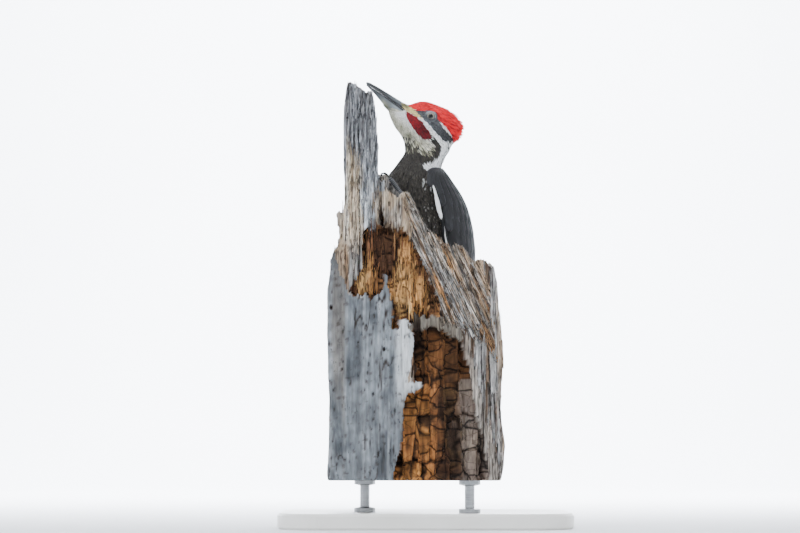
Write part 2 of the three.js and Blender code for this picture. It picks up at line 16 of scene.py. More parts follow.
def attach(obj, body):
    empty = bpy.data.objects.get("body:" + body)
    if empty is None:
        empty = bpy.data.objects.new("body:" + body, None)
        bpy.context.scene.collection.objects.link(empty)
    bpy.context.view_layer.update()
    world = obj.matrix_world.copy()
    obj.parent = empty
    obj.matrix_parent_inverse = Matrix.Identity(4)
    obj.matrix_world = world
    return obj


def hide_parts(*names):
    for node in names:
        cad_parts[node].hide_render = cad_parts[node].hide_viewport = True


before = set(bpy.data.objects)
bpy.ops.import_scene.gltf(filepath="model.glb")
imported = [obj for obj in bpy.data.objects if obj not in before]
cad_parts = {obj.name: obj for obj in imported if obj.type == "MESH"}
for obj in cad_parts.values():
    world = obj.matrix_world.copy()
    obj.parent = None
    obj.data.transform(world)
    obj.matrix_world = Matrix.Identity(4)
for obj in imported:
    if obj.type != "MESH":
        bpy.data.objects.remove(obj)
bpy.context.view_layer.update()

MM = 0.001
BODY_YAW = math.radians(35)
HEAD_TILT = math.radians(36.9)
BILL_TIP = np.array([-60.0, 0.0, 464.5])
SIDES = {"left": -1, "right": 1}
TOES = ("inner", "outer", "side", "back")
rng = np.random.default_rng(20)


# ------------------------------------------------------------------------------------------------ small tools
def smoothstep(low, high, x):
    t = np.clip((np.asarray(x, float) - low) / (high - low), 0, 1)
    return t * t * (3 - 2 * t)


def mix(a, b, share):
    return a + (b - a) * share


def unit(v):
    return v / np.maximum(np.linalg.norm(v, axis=-1, keepdims=True), 1e-9)


def hex_rgb(code):
    return np.array([int(code[i:i + 2], 16) / 255 for i in (1, 3, 5)])


def linear(colour):
    """An sRGB colour, as a hex code or an array of numbers from 0 to 1, in the renderer's linear light."""
    c = hex_rgb(colour) if isinstance(colour, str) else np.asarray(colour, float)
    return np.where(c <= 0.04045, c / 12.92, ((c + 0.055) / 1.055) ** 2.4)


def to_head(p):
    """a, y, b of points in the head frame."""
    d = np.asarray(p, float) - BILL_TIP
    c, s = math.cos(HEAD_TILT), math.sin(HEAD_TILT)
    return c * d[..., 0] - s * d[..., 2], d[..., 1], s * d[..., 0] + c * d[..., 2]


def from_head(a, y, b):
    c, s = math.cos(HEAD_TILT), math.sin(HEAD_TILT)
    a, y, b = np.broadcast_arrays(np.asarray(a, float), y, b)
    return BILL_TIP + np.stack([c * a + s * b, y, -s * a + c * b], -1)


def to_body(p):
    c, s = math.cos(BODY_YAW), math.sin(BODY_YAW)
    p = np.asarray(p, float)
    return np.stack([c * p[..., 0] + s * p[..., 1], -s * p[..., 0] + c * p[..., 1], p[..., 2]], -1)


def from_body(p):
    c, s = math.cos(BODY_YAW), math.sin(BODY_YAW)
    p = np.asarray(p, float)
    return np.stack([c * p[..., 0] - s * p[..., 1], s * p[..., 0] + c * p[..., 1], p[..., 2]], -1)


def waves(p, size, seed, octaves=3):
    """Smooth noise from about -1 to 1, made of turned sine waves, whose largest hills are size apart."""
    turn = np.random.default_rng(seed)
    total = np.zeros(p.shape[:-1])
    for octave in range(octaves):
        for _ in range(4):
            way = unit(turn.normal(size=p.shape[-1])) * 2 * math.pi / size * 2 ** octave * turn.uniform(0.7, 1.4)
            total += np.sin(p @ way + turn.uniform(0, 2 * math.pi)) / 2 ** octave
    return total / 4


# ------------------------------------------------------------------------------------------------ meshes
def new_object(name, points, faces, material, slot=None, stands_for=(), smooth=True):
    """A mesh object from points in millimetres and an array of faces with as many corners each."""
    faces = np.asarray(faces, np.int32)
    mesh = bpy.data.meshes.new(name)
    mesh.vertices.add(len(points))
    mesh.vertices.foreach_set("co", (np.asarray(points, float) * MM).ravel())
    mesh.loops.add(faces.size)
    mesh.loops.foreach_set("vertex_index", faces.ravel())
    mesh.polygons.add(len(faces))
    mesh.polygons.foreach_set("loop_start", np.arange(len(faces), dtype=np.int32) * faces.shape[1])
    mesh.update(calc_edges=True)
    mesh.polygons.foreach_set("use_smooth", np.full(len(faces), smooth))
    piece = bpy.data.objects.new(name, mesh)
    bpy.context.collection.objects.link(piece)
    mesh.materials.append(material)
    return settle(piece, slot, stands_for)


def settle(piece, slot=None, stands_for=()):
    """A piece with a slot rides on the one body, and the solids that it stands for are hidden."""
    if slot:
        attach(piece, "root")
    if stands_for:
        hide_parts(*stands_for)
    return piece


def arrays(mesh):
    """Points in millimetres, and triangles."""
    mesh.calc_loop_triangles()
    points = np.empty(len(mesh.vertices) * 3)
    mesh.vertices.foreach_get("co", points)
    triangles = np.empty(len(mesh.loop_triangles) * 3, np.int32)
    mesh.loop_triangles.foreach_get("vertices", triangles)
    return points.reshape(-1, 3) / MM, triangles.reshape(-1, 3)


def solid_copy(nodes, swell=0.0):
    """One mesh of copies of these solids, their loose triangles merged, each swollen a little so that they fuse."""
    joined = bmesh.new()
    for node in nodes:
        bm = bmesh.new()
        bm.from_mesh(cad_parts[node].data)
        bmesh.ops.remove_doubles(bm, verts=bm.verts, dist=0.01 * MM)
        bm.normal_update()
        for vertex in bm.verts:
            vertex.co += vertex.normal * swell * MM
        part = bpy.data.meshes.new("part")
        bm.to_mesh(part)
        bm.free()
        joined.from_mesh(part)
        bpy.data.meshes.remove(part)
    mesh = bpy.data.meshes.new("joined")
    joined.to_mesh(mesh)
    joined.free()
    return mesh


def box_arrays(low, high):
    corners = np.array([[(low, high)[i][0], (low, high)[j][1], (low, high)[k][2]]
                        for i in (0, 1) for j in (0, 1) for k in (0, 1)], float)
    faces = [(0, 1, 3, 2), (4, 6, 7, 5), (0, 4, 5, 1), (2, 3, 7, 6), (0, 2, 6, 4), (1, 5, 7, 3)]
    return corners, np.array(faces)


def remeshed(nodes, voxel, swell, fillers=()):
    """Points and quads of one closed skin round these solids and filling boxes."""
    mesh = solid_copy(nodes, swell)
    if fillers:
        joined = bmesh.new()
        joined.from_mesh(mesh)
        for low, high in fillers:
            corners, faces = box_arrays(low, high)
            made = [joined.verts.new((corner * MM).tolist()) for corner in corners]
            for face in faces:
                joined.faces.new([made[i] for i in face])
        joined.to_mesh(mesh)
        joined.free()
    temp = bpy.data.objects.new("temp", mesh)
    bpy.context.collection.objects.link(temp)
    remesh = temp.modifiers.new("Remesh", "REMESH")
    remesh.mode = "VOXEL"
    remesh.voxel_size = voxel * MM
    mesh = bpy.data.meshes.new_from_object(temp.evaluated_get(bpy.context.evaluated_depsgraph_get()))
    bpy.data.objects.remove(temp)
    points = np.empty(len(mesh.vertices) * 3)
    mesh.vertices.foreach_get("co", points)
    quads = np.empty(len(mesh.loops), np.int32)
    mesh.loops.foreach_get("vertex_index", quads)
    points, quads = points.reshape(-1, 3) / MM, quads.reshape(-1, 4)
    return largest_body(points, quads)


def edges_of(faces):
    ends = np.concatenate([np.stack([faces[:, i], faces[:, (i + 1) % faces.shape[1]]], 1)
                           for i in range(faces.shape[1])])
    return np.unique(np.sort(ends, 1), axis=0)


def largest_body(points, faces):
    """Only the largest joined body is kept."""
    label = np.arange(len(points))
    ends = edges_of(faces)
    while True:
        low = np.minimum(label[ends[:, 0]], label[ends[:, 1]])
        fresh = label.copy()
        np.minimum.at(fresh, ends[:, 0], low)
        np.minimum.at(fresh, ends[:, 1], low)
        fresh = fresh[fresh]
        if (fresh == label).all():
            break
        label = fresh
    names, counts = np.unique(label, return_counts=True)
    keep = label == names[counts.argmax()]
    index = np.cumsum(keep) - 1
    return points[keep], index[faces[keep[faces[:, 0]]]]


def smoothed(points, faces, rounds, share=0.5, hold=None):
    """Points drawn towards the mean of their neighbours. hold, from 0 to 1, keeps a point where it is."""
    ends = edges_of(faces)
    both = np.concatenate([ends, ends[:, ::-1]])
    count = np.bincount(both[:, 0], minlength=len(points))[:, None]
    pull = share if hold is None else share * (1 - hold)[:, None]
    for _ in range(rounds):
        total = np.stack([np.bincount(both[:, 0], points[both[:, 1], k], len(points)) for k in range(3)], 1)
        points = points + (total / count - points) * pull
    return points


def normals_of(points, faces):
    a, b, c = points[faces[:, 0]], points[faces[:, 1]], points[faces[:, 2]]
    flat = np.cross(b - a, c - a)
    total = np.zeros_like(points)
    for k in range(faces.shape[1]):
        for axis in range(3):
            total[:, axis] += np.bincount(faces[:, k], flat[:, axis], len(points))
    return unit(total)


def triangles_of(quads):
    return np.concatenate([quads[:, [0, 1, 2]], quads[:, [0, 2, 3]]])


def tree_of(points, faces):
    return BVHTree.FromPolygons(points.tolist(), faces.tolist())


def nearest(tree, points):
    """Nearest points on a surface, its normals there, and the distances."""
    found = [tree.find_nearest(p) for p in points.reshape(-1, 3).tolist()]
    where = np.array([f[0][:] for f in found]).reshape(points.shape)
    normal = np.array([f[1][:] for f in found]).reshape(points.shape)
    away = np.array([f[3] for f in found]).reshape(points.shape[:-1])
    return where, normal, away


def paint(piece, colours, name="Tint", share=1.0):
    """Keeps a colour for every point, given in sRGB, and in its alpha how strongly the material's grain shows."""
    layer = piece.data.color_attributes.new(name, "FLOAT_COLOR", "POINT")
    full = np.concatenate([linear(colours), np.broadcast_to(np.reshape(share, (-1, 1)), (len(colours), 1))], 1)
    layer.data.foreach_set("color", full.astype(np.float32).ravel())


def map_uv(piece, name, uv):
    """A UV map from one pair for every point."""
    corners = np.empty(len(piece.data.loops), np.int32)
    piece.data.loops.foreach_get("vertex_index", corners)
    layer = piece.data.uv_layers.new(name=name)
    layer.data.foreach_set("uv", uv[corners].astype(np.float32).ravel())


def lathe(profile, around=48):
    """Points and quads of a closed turned form. profile is [(radius, height), ...] with both ends on the axis."""
    profile = np.asarray(profile, float)
    turn = np.linspace(0, 2 * math.pi, around, endpoint=False)
    ring = [[(r * math.cos(t), r * math.sin(t), z) for t in turn] for r, z in profile]
    points = np.array(ring).reshape(-1, 3)
    k, j = np.meshgrid(np.arange(len(profile) - 1), np.arange(around), indexing="ij")
    low, low_next = k * around + j, k * around + (j + 1) % around
    quads = np.stack([low, low_next, low_next + around, low + around], -1).reshape(-1, 4)
    return points, quads


# ------------------------------------------------------------------------------------------------ materials
def add_node(tree, kind, settings=None, **links):
    """One node with its settings. Each link is an input's name, or _ and its number, and a value or a socket."""
    node = tree.nodes.new(kind)
    for name, value in (settings or {}).items():
        setattr(node, name, value)
    for name, value in links.items():
        socket = node.inputs[int(name[1:])] if name[0] == "_" else node.inputs[name.replace("_", " ")]
        if isinstance(value, bpy.types.NodeSocket):
            tree.links.new(value, socket)
        elif isinstance(value, str) and value[0] == "#":
            socket.default_value = (*linear(value), 1)
        else:
            socket.default_value = value
    return node


def new_material(name, **constants):
    """A material, its node tree and its shader, with constants on the shader's own sockets."""
    material = bpy.data.materials.new(name)
    material.use_nodes = True
    tree = material.node_tree
    shader = tree.nodes["Principled BSDF"]
    for key, value in constants.items():
        shader.inputs[key.replace("_", " ")].default_value = value
    return material, tree, shader


def ramp(tree, factor, stops):
    """A colour ramp from [(position, hex colour), ...]."""
    node = add_node(tree, "ShaderNodeValToRGB", Fac=factor)
    elements = node.color_ramp.elements
    while len(elements) < len(stops):
        elements.new(0.5)
    for element, (position, colour) in zip(elements, stops):
        element.position = position
        element.color = (*linear(colour), 1)
    return node.outputs["Color"]


def per_mm(size):
    """A texture's scale, in features per metre, for features this many millimetres apart."""
    return 1 / (size * MM)


def feather_material(name, roughness, sheen, barb_bump, streak, sheen_tint="#ffffff"):
    """Keratin barbs that lie side by side: fine slanting lines on both sides of a paler shaft, soft at the rim."""
    material, tree, shader = new_material(name, Roughness=roughness, Sheen_Weight=sheen, Sheen_Roughness=0.45,
                                          Specular_IOR_Level=0.3)
    shader.inputs["Sheen Tint"].default_value = (*linear(sheen_tint), 1)
    tint = add_node(tree, "ShaderNodeVertexColor", {"layer_name": "Tint"})
    vane = add_node(tree, "ShaderNodeUVMap", {"uv_map": "Vane"})
    parts = add_node(tree, "ShaderNodeSeparateXYZ", _0=vane.outputs["UV"])
    across = add_node(tree, "ShaderNodeMath", {"operation": "ABSOLUTE"}, _0=parts.outputs["X"])
    # Barbs leave the shaft at a slant: their phase runs along the vane and falls back towards its rim.
    slant = add_node(tree, "ShaderNodeMath", {"operation": "MULTIPLY_ADD"},
                     _0=across.outputs[0], _1=-0.45, _2=parts.outputs["Y"])
    phase = add_node(tree, "ShaderNodeCombineXYZ", X=across.outputs[0], Y=slant.outputs[0])
    barbs = add_node(tree, "ShaderNodeTexWave", {"wave_type": "BANDS", "bands_direction": "Y"},
                     Vector=phase.outputs[0], Scale=1.6, Distortion=1.2, Detail=2.0, Detail_Scale=1.5)
    blotch = add_node(tree, "ShaderNodeTexNoise", Vector=add_node(tree, "ShaderNodeTexCoord").outputs["Object"],
                      Scale=per_mm(6), Detail=4.0)
    shade = add_node(tree, "ShaderNodeMath", {"operation": "MULTIPLY_ADD"},
                     _0=barbs.outputs["Fac"], _1=streak, _2=1 - streak / 2)
    shade = add_node(tree, "ShaderNodeMath", {"operation": "MULTIPLY_ADD"},
                     _0=blotch.outputs["Fac"], _1=streak, _2=shade.outputs[0])
    shade = add_node(tree, "ShaderNodeMath", {"operation": "SUBTRACT"}, _0=shade.outputs[0], _1=streak / 2)
    colour = add_node(tree, "ShaderNodeVectorMath", {"operation": "SCALE"},
                      _0=tint.outputs["Color"], Scale=shade.outputs[0])
    tree.links.new(colour.outputs[0], shader.inputs["Base Color"])
    bump = add_node(tree, "ShaderNodeBump", Height=barbs.outputs["Fac"], Strength=barb_bump, Distance=0.1 * MM)
    tree.links.new(bump.outputs[0], shader.inputs["Normal"])
    return material


def skin_material():
    """Feathered skin under the vanes: the same colours, dull and finely grained, seen only in the gaps."""
    material, tree, shader = new_material("Feather down", Roughness=0.9, Specular_IOR_Level=0.2)
    tint = add_node(tree, "ShaderNodeVertexColor", {"layer_name": "Tint"})
    place = add_node(tree, "ShaderNodeTexCoord").outputs["Object"]
    grain = add_node(tree, "ShaderNodeTexNoise", Vector=place, Scale=per_mm(0.9), Detail=5.0)
    shade = add_node(tree, "ShaderNodeMapRange", Value=grain.outputs["Fac"], To_Min=0.45, To_Max=0.95)
    colour = add_node(tree, "ShaderNodeVectorMath", {"operation": "SCALE"},
                      _0=tint.outputs["Color"], Scale=shade.outputs[0])
    tree.links.new(colour.outputs[0], shader.inputs["Base Color"])
    bump = add_node(tree, "ShaderNodeBump", Height=grain.outputs["Fac"], Strength=0.5, Distance=0.3 * MM)
    tree.links.new(bump.outputs[0], shader.inputs["Normal"])
    return material


def painted_horn(name, roughness, grain_mm, coat=0.0):
    """Bill or claw keratin: smooth and satin, with fine lengthwise growth lines."""
    material, tree, shader = new_material(name, Roughness=roughness, IOR=1.54, Coat_Weight=coat, Coat_Roughness=0.2)
    tint = add_node(tree, "ShaderNodeVertexColor", {"layer_name": "Tint"})
    place = add_node(tree, "ShaderNodeTexCoord").outputs["Object"]
    # Growth lines run from the base to the tip, so the pattern is drawn out along the bill's slope.
    along = add_node(tree, "ShaderNodeMapping", Vector=place, Rotation=(0, HEAD_TILT, 0), Scale=(0.08, 1, 1))
    lines = add_node(tree, "ShaderNodeTexNoise", Vector=along.outputs[0], Scale=per_mm(grain_mm), Detail=5.0)
    shade = add_node(tree, "ShaderNodeMapRange", Value=lines.outputs["Fac"], From_Min=0.3, From_Max=0.7,
                     To_Min=0.82, To_Max=1.12)
    colour = add_node(tree, "ShaderNodeVectorMath", {"operation": "SCALE"},
                      _0=tint.outputs["Color"], Scale=shade.outputs[0])
    tree.links.new(colour.outputs[0], shader.inputs["Base Color"])
    bump = add_node(tree, "ShaderNodeBump", Height=lines.outputs["Fac"], Strength=0.35, Distance=0.15 * MM)
    tree.links.new(bump.outputs[0], shader.inputs["Normal"])
    return material


def scaled_skin(name):
    """Scaly skin of the legs and toes: dry grey plates with darker creases between them."""
    material, tree, shader = new_material(name, Roughness=0.55, Specular_IOR_Level=0.45)
    tint = add_node(tree, "ShaderNodeVertexColor", {"layer_name": "Tint"})
    place = add_node(tree, "ShaderNodeTexCoord").outputs["Object"]
    cells = add_node(tree, "ShaderNodeTexVoronoi", {"feature": "DISTANCE_TO_EDGE"}, Vector=place, Scale=per_mm(0.9))
    crease = add_node(tree, "ShaderNodeMapRange", Value=cells.outputs["Distance"], From_Max=0.12,
                      To_Min=0.6, To_Max=1.05)
    colour = add_node(tree, "ShaderNodeVectorMath", {"operation": "SCALE"},
                      _0=tint.outputs["Color"], Scale=crease.outputs[0])
    tree.links.new(colour.outputs[0], shader.inputs["Base Color"])
    bump = add_node(tree, "ShaderNodeBump", Height=crease.outputs[0], Strength=0.4, Distance=0.15 * MM)
    tree.links.new(bump.outputs[0], shader.inputs["Normal"])
    return material


def dead_wood():
    """Standing dead softwood: fibres that weather grey and part into fine ridges, dull everywhere."""
    material, tree, shader = new_material("Weathered dead softwood", Roughness=0.92, Specular_IOR_Level=0.15)
    tint = add_node(tree, "ShaderNodeVertexColor", {"layer_name": "Tint"})
    grain = add_node(tree, "ShaderNodeAttribute", {"attribute_name": "Grain"}).outputs["Vector"]
    # Fibres are about 1.2 mm wide and 20 times as long, running along the grain.
    tall = add_node(tree, "ShaderNodeMapping", Vector=grain, Scale=(1, 1, 0.05))
    fibre = add_node(tree, "ShaderNodeTexNoise", Vector=tall.outputs[0], Scale=per_mm(1.5), Detail=7.0,
                     Roughness=0.72, Distortion=0.3)
    # Drying checks: thin lines painted dark as the shade in them, where a slow noise crosses its middle value.
    slow = add_node(tree, "ShaderNodeTexNoise", Vector=tall.outputs[0], Scale=per_mm(5), Detail=3.0, Distortion=0.6)
    off_middle = add_node(tree, "ShaderNodeMath", {"operation": "SUBTRACT"}, _0=slow.outputs["Fac"], _1=0.5)
    off_middle = add_node(tree, "ShaderNodeMath", {"operation": "ABSOLUTE"}, _0=off_middle.outputs[0])
    check = add_node(tree, "ShaderNodeMapRange", Value=off_middle.outputs[0], From_Min=0.004, From_Max=0.022,
                     To_Min=0.3, To_Max=1.0)
    broad = add_node(tree, "ShaderNodeTexNoise", Vector=tall.outputs[0], Scale=per_mm(9), Detail=5.0)
    short = add_node(tree, "ShaderNodeMapping", Vector=grain, Scale=(1, 1, 0.22))
    fleck = add_node(tree, "ShaderNodeTexNoise", Vector=short.outputs[0], Scale=per_mm(2.6), Detail=7.0)
    light = add_node(tree, "ShaderNodeMapRange", Value=fibre.outputs["Fac"], From_Min=0.38, From_Max=0.62,
                     To_Min=0.3, To_Max=1.45)
    wide = add_node(tree, "ShaderNodeMapRange", Value=broad.outputs["Fac"], From_Min=0.35, From_Max=0.65,
                    To_Min=0.68, To_Max=1.2)
    spots = add_node(tree, "ShaderNodeMapRange", Value=fleck.outputs["Fac"], From_Min=0.35, From_Max=0.65,
                     To_Min=0.7, To_Max=1.15)
    both = add_node(tree, "ShaderNodeMath", {"operation": "MULTIPLY"}, _0=light.outputs[0], _1=wide.outputs[0])
    both = add_node(tree, "ShaderNodeMath", {"operation": "MULTIPLY"}, _0=both.outputs[0], _1=spots.outputs[0])
    both = add_node(tree, "ShaderNodeMath", {"operation": "MULTIPLY"}, _0=both.outputs[0], _1=check.outputs[0])
    # Smooth weathered faces show less grain than torn ones.
    shown = add_node(tree, "ShaderNodeMath", {"operation": "SUBTRACT"}, _0=both.outputs[0], _1=1.0)
    shown = add_node(tree, "ShaderNodeMath", {"operation": "MULTIPLY_ADD"},
                     _0=shown.outputs[0], _1=tint.outputs["Alpha"], _2=1.0)
    # Brown rot parts into plates about 17 mm across and smaller ones of 8 mm, along bent cracks painted dark as the
    # shade in them; Zone's x says where.
    zone = add_node(tree, "ShaderNodeAttribute", {"attribute_name": "Zone"}).outputs["Vector"]
    rot, slab, _ = add_node(tree, "ShaderNodeSeparateXYZ", _0=zone).outputs
    warp = add_node(tree, "ShaderNodeTexNoise", Vector=grain, Scale=per_mm(20), Detail=3.0)
    bent = add_node(tree, "ShaderNodeVectorMath", {"operation": "MULTIPLY_ADD"},
                    _0=warp.outputs["Color"], _1=(18 * MM, 0, 22 * MM), _2=grain)
    bent = add_node(tree, "ShaderNodeMapping", Vector=bent.outputs[0], Scale=(1, 0.2, 0.66)).outputs[0]
    cracks = []
    for size, width, darkest in ((17, 0.05, 0.1), (8, 0.045, 0.5)):
        plates = add_node(tree, "ShaderNodeTexVoronoi", {"feature": "DISTANCE_TO_EDGE"}, Vector=bent,
                          Scale=per_mm(size), Randomness=0.85)
        cracks.append(add_node(tree, "ShaderNodeMapRange", Value=plates.outputs["Distance"], From_Max=width,
                               To_Min=darkest, To_Max=1.0).outputs[0])
    own = add_node(tree, "ShaderNodeTexVoronoi", Vector=bent, Scale=per_mm(17), Randomness=0.85)
    own = add_node(tree, "ShaderNodeSeparateXYZ", _0=own.outputs["Color"])
    own = add_node(tree, "ShaderNodeMapRange", Value=own.outputs["X"], To_Min=0.68, To_Max=1.3)
    plate = add_node(tree, "ShaderNodeMath", {"operation": "MULTIPLY"}, _0=cracks[0], _1=cracks[1])
    plate = add_node(tree, "ShaderNodeMath", {"operation": "MULTIPLY"}, _0=plate.outputs[0], _1=own.outputs[0])
    # The smooth slab carries short checks and pits 5 mm apart, painted dark as the shade in them; Zone's y says where.
    dotted = add_node(tree, "ShaderNodeMapping", Vector=grain, Scale=(1, 1, 0.4))
    pits = add_node(tree, "ShaderNodeTexNoise", Vector=dotted.outputs[0], Scale=per_mm(5), Detail=6.0, Roughness=0.75)
    pits = add_node(tree, "ShaderNodeMapRange", Value=pits.outputs["Fac"], From_Min=0.34, From_Max=0.41,
                    To_Min=0.4, To_Max=1.0)
    for where, factor in ((rot, plate), (slab, pits)):
        factor = add_node(tree, "ShaderNodeMath", {"operation": "SUBTRACT"}, _0=factor.outputs[0], _1=1.0)
        factor = add_node(tree, "ShaderNodeMath", {"operation": "MULTIPLY_ADD"},
                          _0=factor.outputs[0], _1=where, _2=1.0)
        shown = add_node(tree, "ShaderNodeMath", {"operation": "MULTIPLY"}, _0=shown.outputs[0], _1=factor.outputs[0])
    colour = add_node(tree, "ShaderNodeVectorMath", {"operation": "SCALE"},
                      _0=tint.outputs["Color"], Scale=shown.outputs[0])
    tree.links.new(colour.outputs[0], shader.inputs["Base Color"])
    height = add_node(tree, "ShaderNodeMath", {"operation": "MULTIPLY"},
                      _0=fibre.outputs["Fac"], _1=tint.outputs["Alpha"])
    sunk = add_node(tree, "ShaderNodeMath", {"operation": "MULTIPLY"}, _0=cracks[0], _1=rot)
    height = add_node(tree, "ShaderNodeMath", {"operation": "ADD"}, _0=height.outputs[0], _1=sunk.outputs[0])
    bump = add_node(tree, "ShaderNodeBump", Height=height.outputs[0], Strength=0.9, Distance=1.6 * MM)
    fine = add_node(tree, "ShaderNodeBump", Height=fleck.outputs["Fac"], Strength=0.7, Distance=0.9 * MM,
                    Normal=bump.outputs[0])
    tree.links.new(fine.outputs[0], shader.inputs["Normal"])
    return material


def lacquered_board():
    """Off-white satin lacquer sprayed on board: nearly even, with the faint orange peel of a sprayed coat."""
    material, tree, shader = new_material("Satin lacquered board", Roughness=0.38, Coat_Weight=0.25,
                                          Coat_Roughness=0.3)
    place = add_node(tree, "ShaderNodeTexCoord").outputs["Object"]
    cloud = add_node(tree, "ShaderNodeTexNoise", Vector=place, Scale=per_mm(60), Detail=3.0)
    tree.links.new(ramp(tree, cloud.outputs["Fac"], [(0.3, "#dcdad4"), (0.7, "#e6e4df")]),
                   shader.inputs["Base Color"])
    peel = add_node(tree, "ShaderNodeTexNoise", Vector=place, Scale=per_mm(1.6), Detail=2.0)
    bump = add_node(tree, "ShaderNodeBump", Height=peel.outputs["Fac"], Strength=0.08, Distance=0.2 * MM)
    tree.links.new(bump.outputs[0], shader.inputs["Normal"])
    return material


def turned_steel():
    """Steel rod turned and rubbed: fine rings round the rod that spread its highlight."""
    material, tree, shader = new_material("Turned satin steel", Metallic=1.0, Roughness=0.32)
    place = add_node(tree, "ShaderNodeTexCoord").outputs["Object"]
    squashed = add_node(tree, "ShaderNodeMapping", Vector=place, Scale=(0.03, 0.03, 1))
    rings = add_node(tree, "ShaderNodeTexNoise", Vector=squashed.outputs[0], Scale=per_mm(0.5), Detail=3.0)
    tree.links.new(ramp(tree, rings.outputs["Fac"], [(0.3, "#8b8d90"), (0.7, "#b4b6b8")]),
                   shader.inputs["Base Color"])
    bump = add_node(tree, "ShaderNodeBump", Height=rings.outputs["Fac"], Strength=0.15, Distance=0.05 * MM)
    tree.links.new(bump.outputs[0], shader.inputs["Normal"])
    return material


def eye_material():
    """A wet, glossy eye in the colours painted on it: black pupil, narrow pale iris with fine rays, dark rim."""
    material, tree, shader = new_material("Wet eye", Roughness=0.05, IOR=1.38)
    tint = add_node(tree, "ShaderNodeVertexColor", {"layer_name": "Tint"})
    tree.links.new(tint.outputs["Color"], shader.inputs["Base Color"])
    return material


SOFT_FEATHER = feather_material("Soft contour feather", 0.75, 0.05, 0.25, 0.28)
SILKY_FEATHER = feather_material("Silky crown feather", 0.6, 0.06, 0.25, 0.3, "#ffb0a0")
STIFF_FEATHER = feather_material("Stiff flight feather", 0.56, 0.03, 0.4, 0.24, "#c8ccd8")
DOWN = skin_material()
BILL_HORN = painted_horn("Bill horn", 0.4, 0.5, 0.05)
CLAW_HORN = painted_horn("Claw horn", 0.25, 0.4, 0.4)
FOOT_SKIN = scaled_skin("Scaly foot skin")
WOOD = dead_wood()
BOARD = lacquered_board()
STEEL = turned_steel()
EYE = eye_material()


# ------------------------------------------------------------------------------------------------ camera and light
LENS_PIXELS = 2304  # the lens's length in pixels of an 800-pixel-wide frame
CAMERA_AT = np.array([-26.0, -2400.0, 75.0])
CAMERA_UP = math.radians(4.66)
SENSOR_WIDTH = 36.0

camera = bpy.data.objects.new("Camera", bpy.data.cameras.new("Camera"))
bpy.context.collection.objects.link(camera)
camera.data.sensor_width = SENSOR_WIDTH
camera.data.lens = LENS_PIXELS / 800 * SENSOR_WIDTH
camera.data.clip_start = 0.05
camera.data.clip_end = 50
camera.location = CAMERA_AT * MM
camera.rotation_euler = (math.pi / 2 + CAMERA_UP, 0, 0)
bpy.context.scene.camera = camera


def pale_floor():
    """A pale floor that curves up into a backdrop far behind."""
    half, back, radius, height, front = 6000, 2600, 1500, 5200, -6000
    profile = [(front, 0), (back, 0)]
    for turn in np.linspace(0, math.pi / 2, 24)[1:]:
        profile.append((back + radius * math.sin(turn), radius * (1 - math.cos(turn))))
    profile.append((back + radius, height))
    points = [(x, y, z) for y, z in profile for x in (-half, half)]
    faces = [(2 * i, 2 * i + 1, 2 * i + 3, 2 * i + 2) for i in range(len(profile) - 1)]
    material, tree, shader = new_material("Pale matte paint", Roughness=0.9, Specular_IOR_Level=0.1)
    place = add_node(tree, "ShaderNodeTexCoord").outputs["Object"]
    cloud = add_node(tree, "ShaderNodeTexNoise", Vector=place, Scale=per_mm(900), Detail=2.0)
    tree.links.new(ramp(tree, cloud.outputs["Fac"], [(0.3, "#eceef1"), (0.7, "#f1f3f5")]),
                   shader.inputs["Base Color"])
    floor = new_object("Floor", points, faces, material)


def area_light(name, place, aim, width, watts, colour):
    light = bpy.data.objects.new(name, bpy.data.lights.new(name, "AREA"))
    bpy.context.collection.objects.link(light)
    light.data.shape = "DISK"
    light.data.size = width
    light.data.energy = watts
    light.data.color = linear(colour)
    light.location = place
    light.rotation_euler = (Vector(aim) - Vector(place)).to_track_quat("-Z", "Y").to_euler()


pale_floor()
area_light("Overcast sky", (-0.6, -1.2, 2.6), (0, 0, 0.3), 2.0, 76, "#f4f8ff")
area_light("Window", (-2.2, -1.6, 1.1), (0, 0, 0.35), 1.3, 34, "#f6f9ff")
area_light("Fill", (2.0, -1.6, 0.9), (0, 0, 0.3), 1.8, 15, "#fbfaf6")
area_light("Rim", (0.9, 1.9, 1.6), (0, 0, 0.35), 1.2, 24, "#ffffff")
area_light("Backdrop wash", (0, 1.6, 2.6), (0, 4.2, 0.9), 3.0, 950, "#f6f9ff")
world = bpy.data.worlds.new("Studio")
world.use_nodes = True
world.node_tree.nodes["Background"].inputs["Color"].default_value = (*linear("#eef3fa"), 1)
world.node_tree.nodes["Background"].inputs["Strength"].default_value = 0.94
bpy.context.scene.world = world


# ------------------------------------------------------------------------------------------------ markings
# The markings are drawn on a side view of the bird's left, and mirrored to its right. Head outlines are (a, b) in
# the head frame, neck outlines are (x, z).
SOOT = hex_rgb("#37342f")
SLATE = hex_rgb("#232427")
WHITE = hex_rgb("#fafbfa")
RED = hex_rgb("#f61f2b")
MALAR = hex_rgb("#600812")
MASK = hex_rgb("#484a4d")
THROAT = hex_rgb("#d6d3c1")
OLIVE = hex_rgb("#6c6a53")
CREAM = hex_rgb("#f0dc98")
NOSTRIL = hex_rgb("#8d8763")

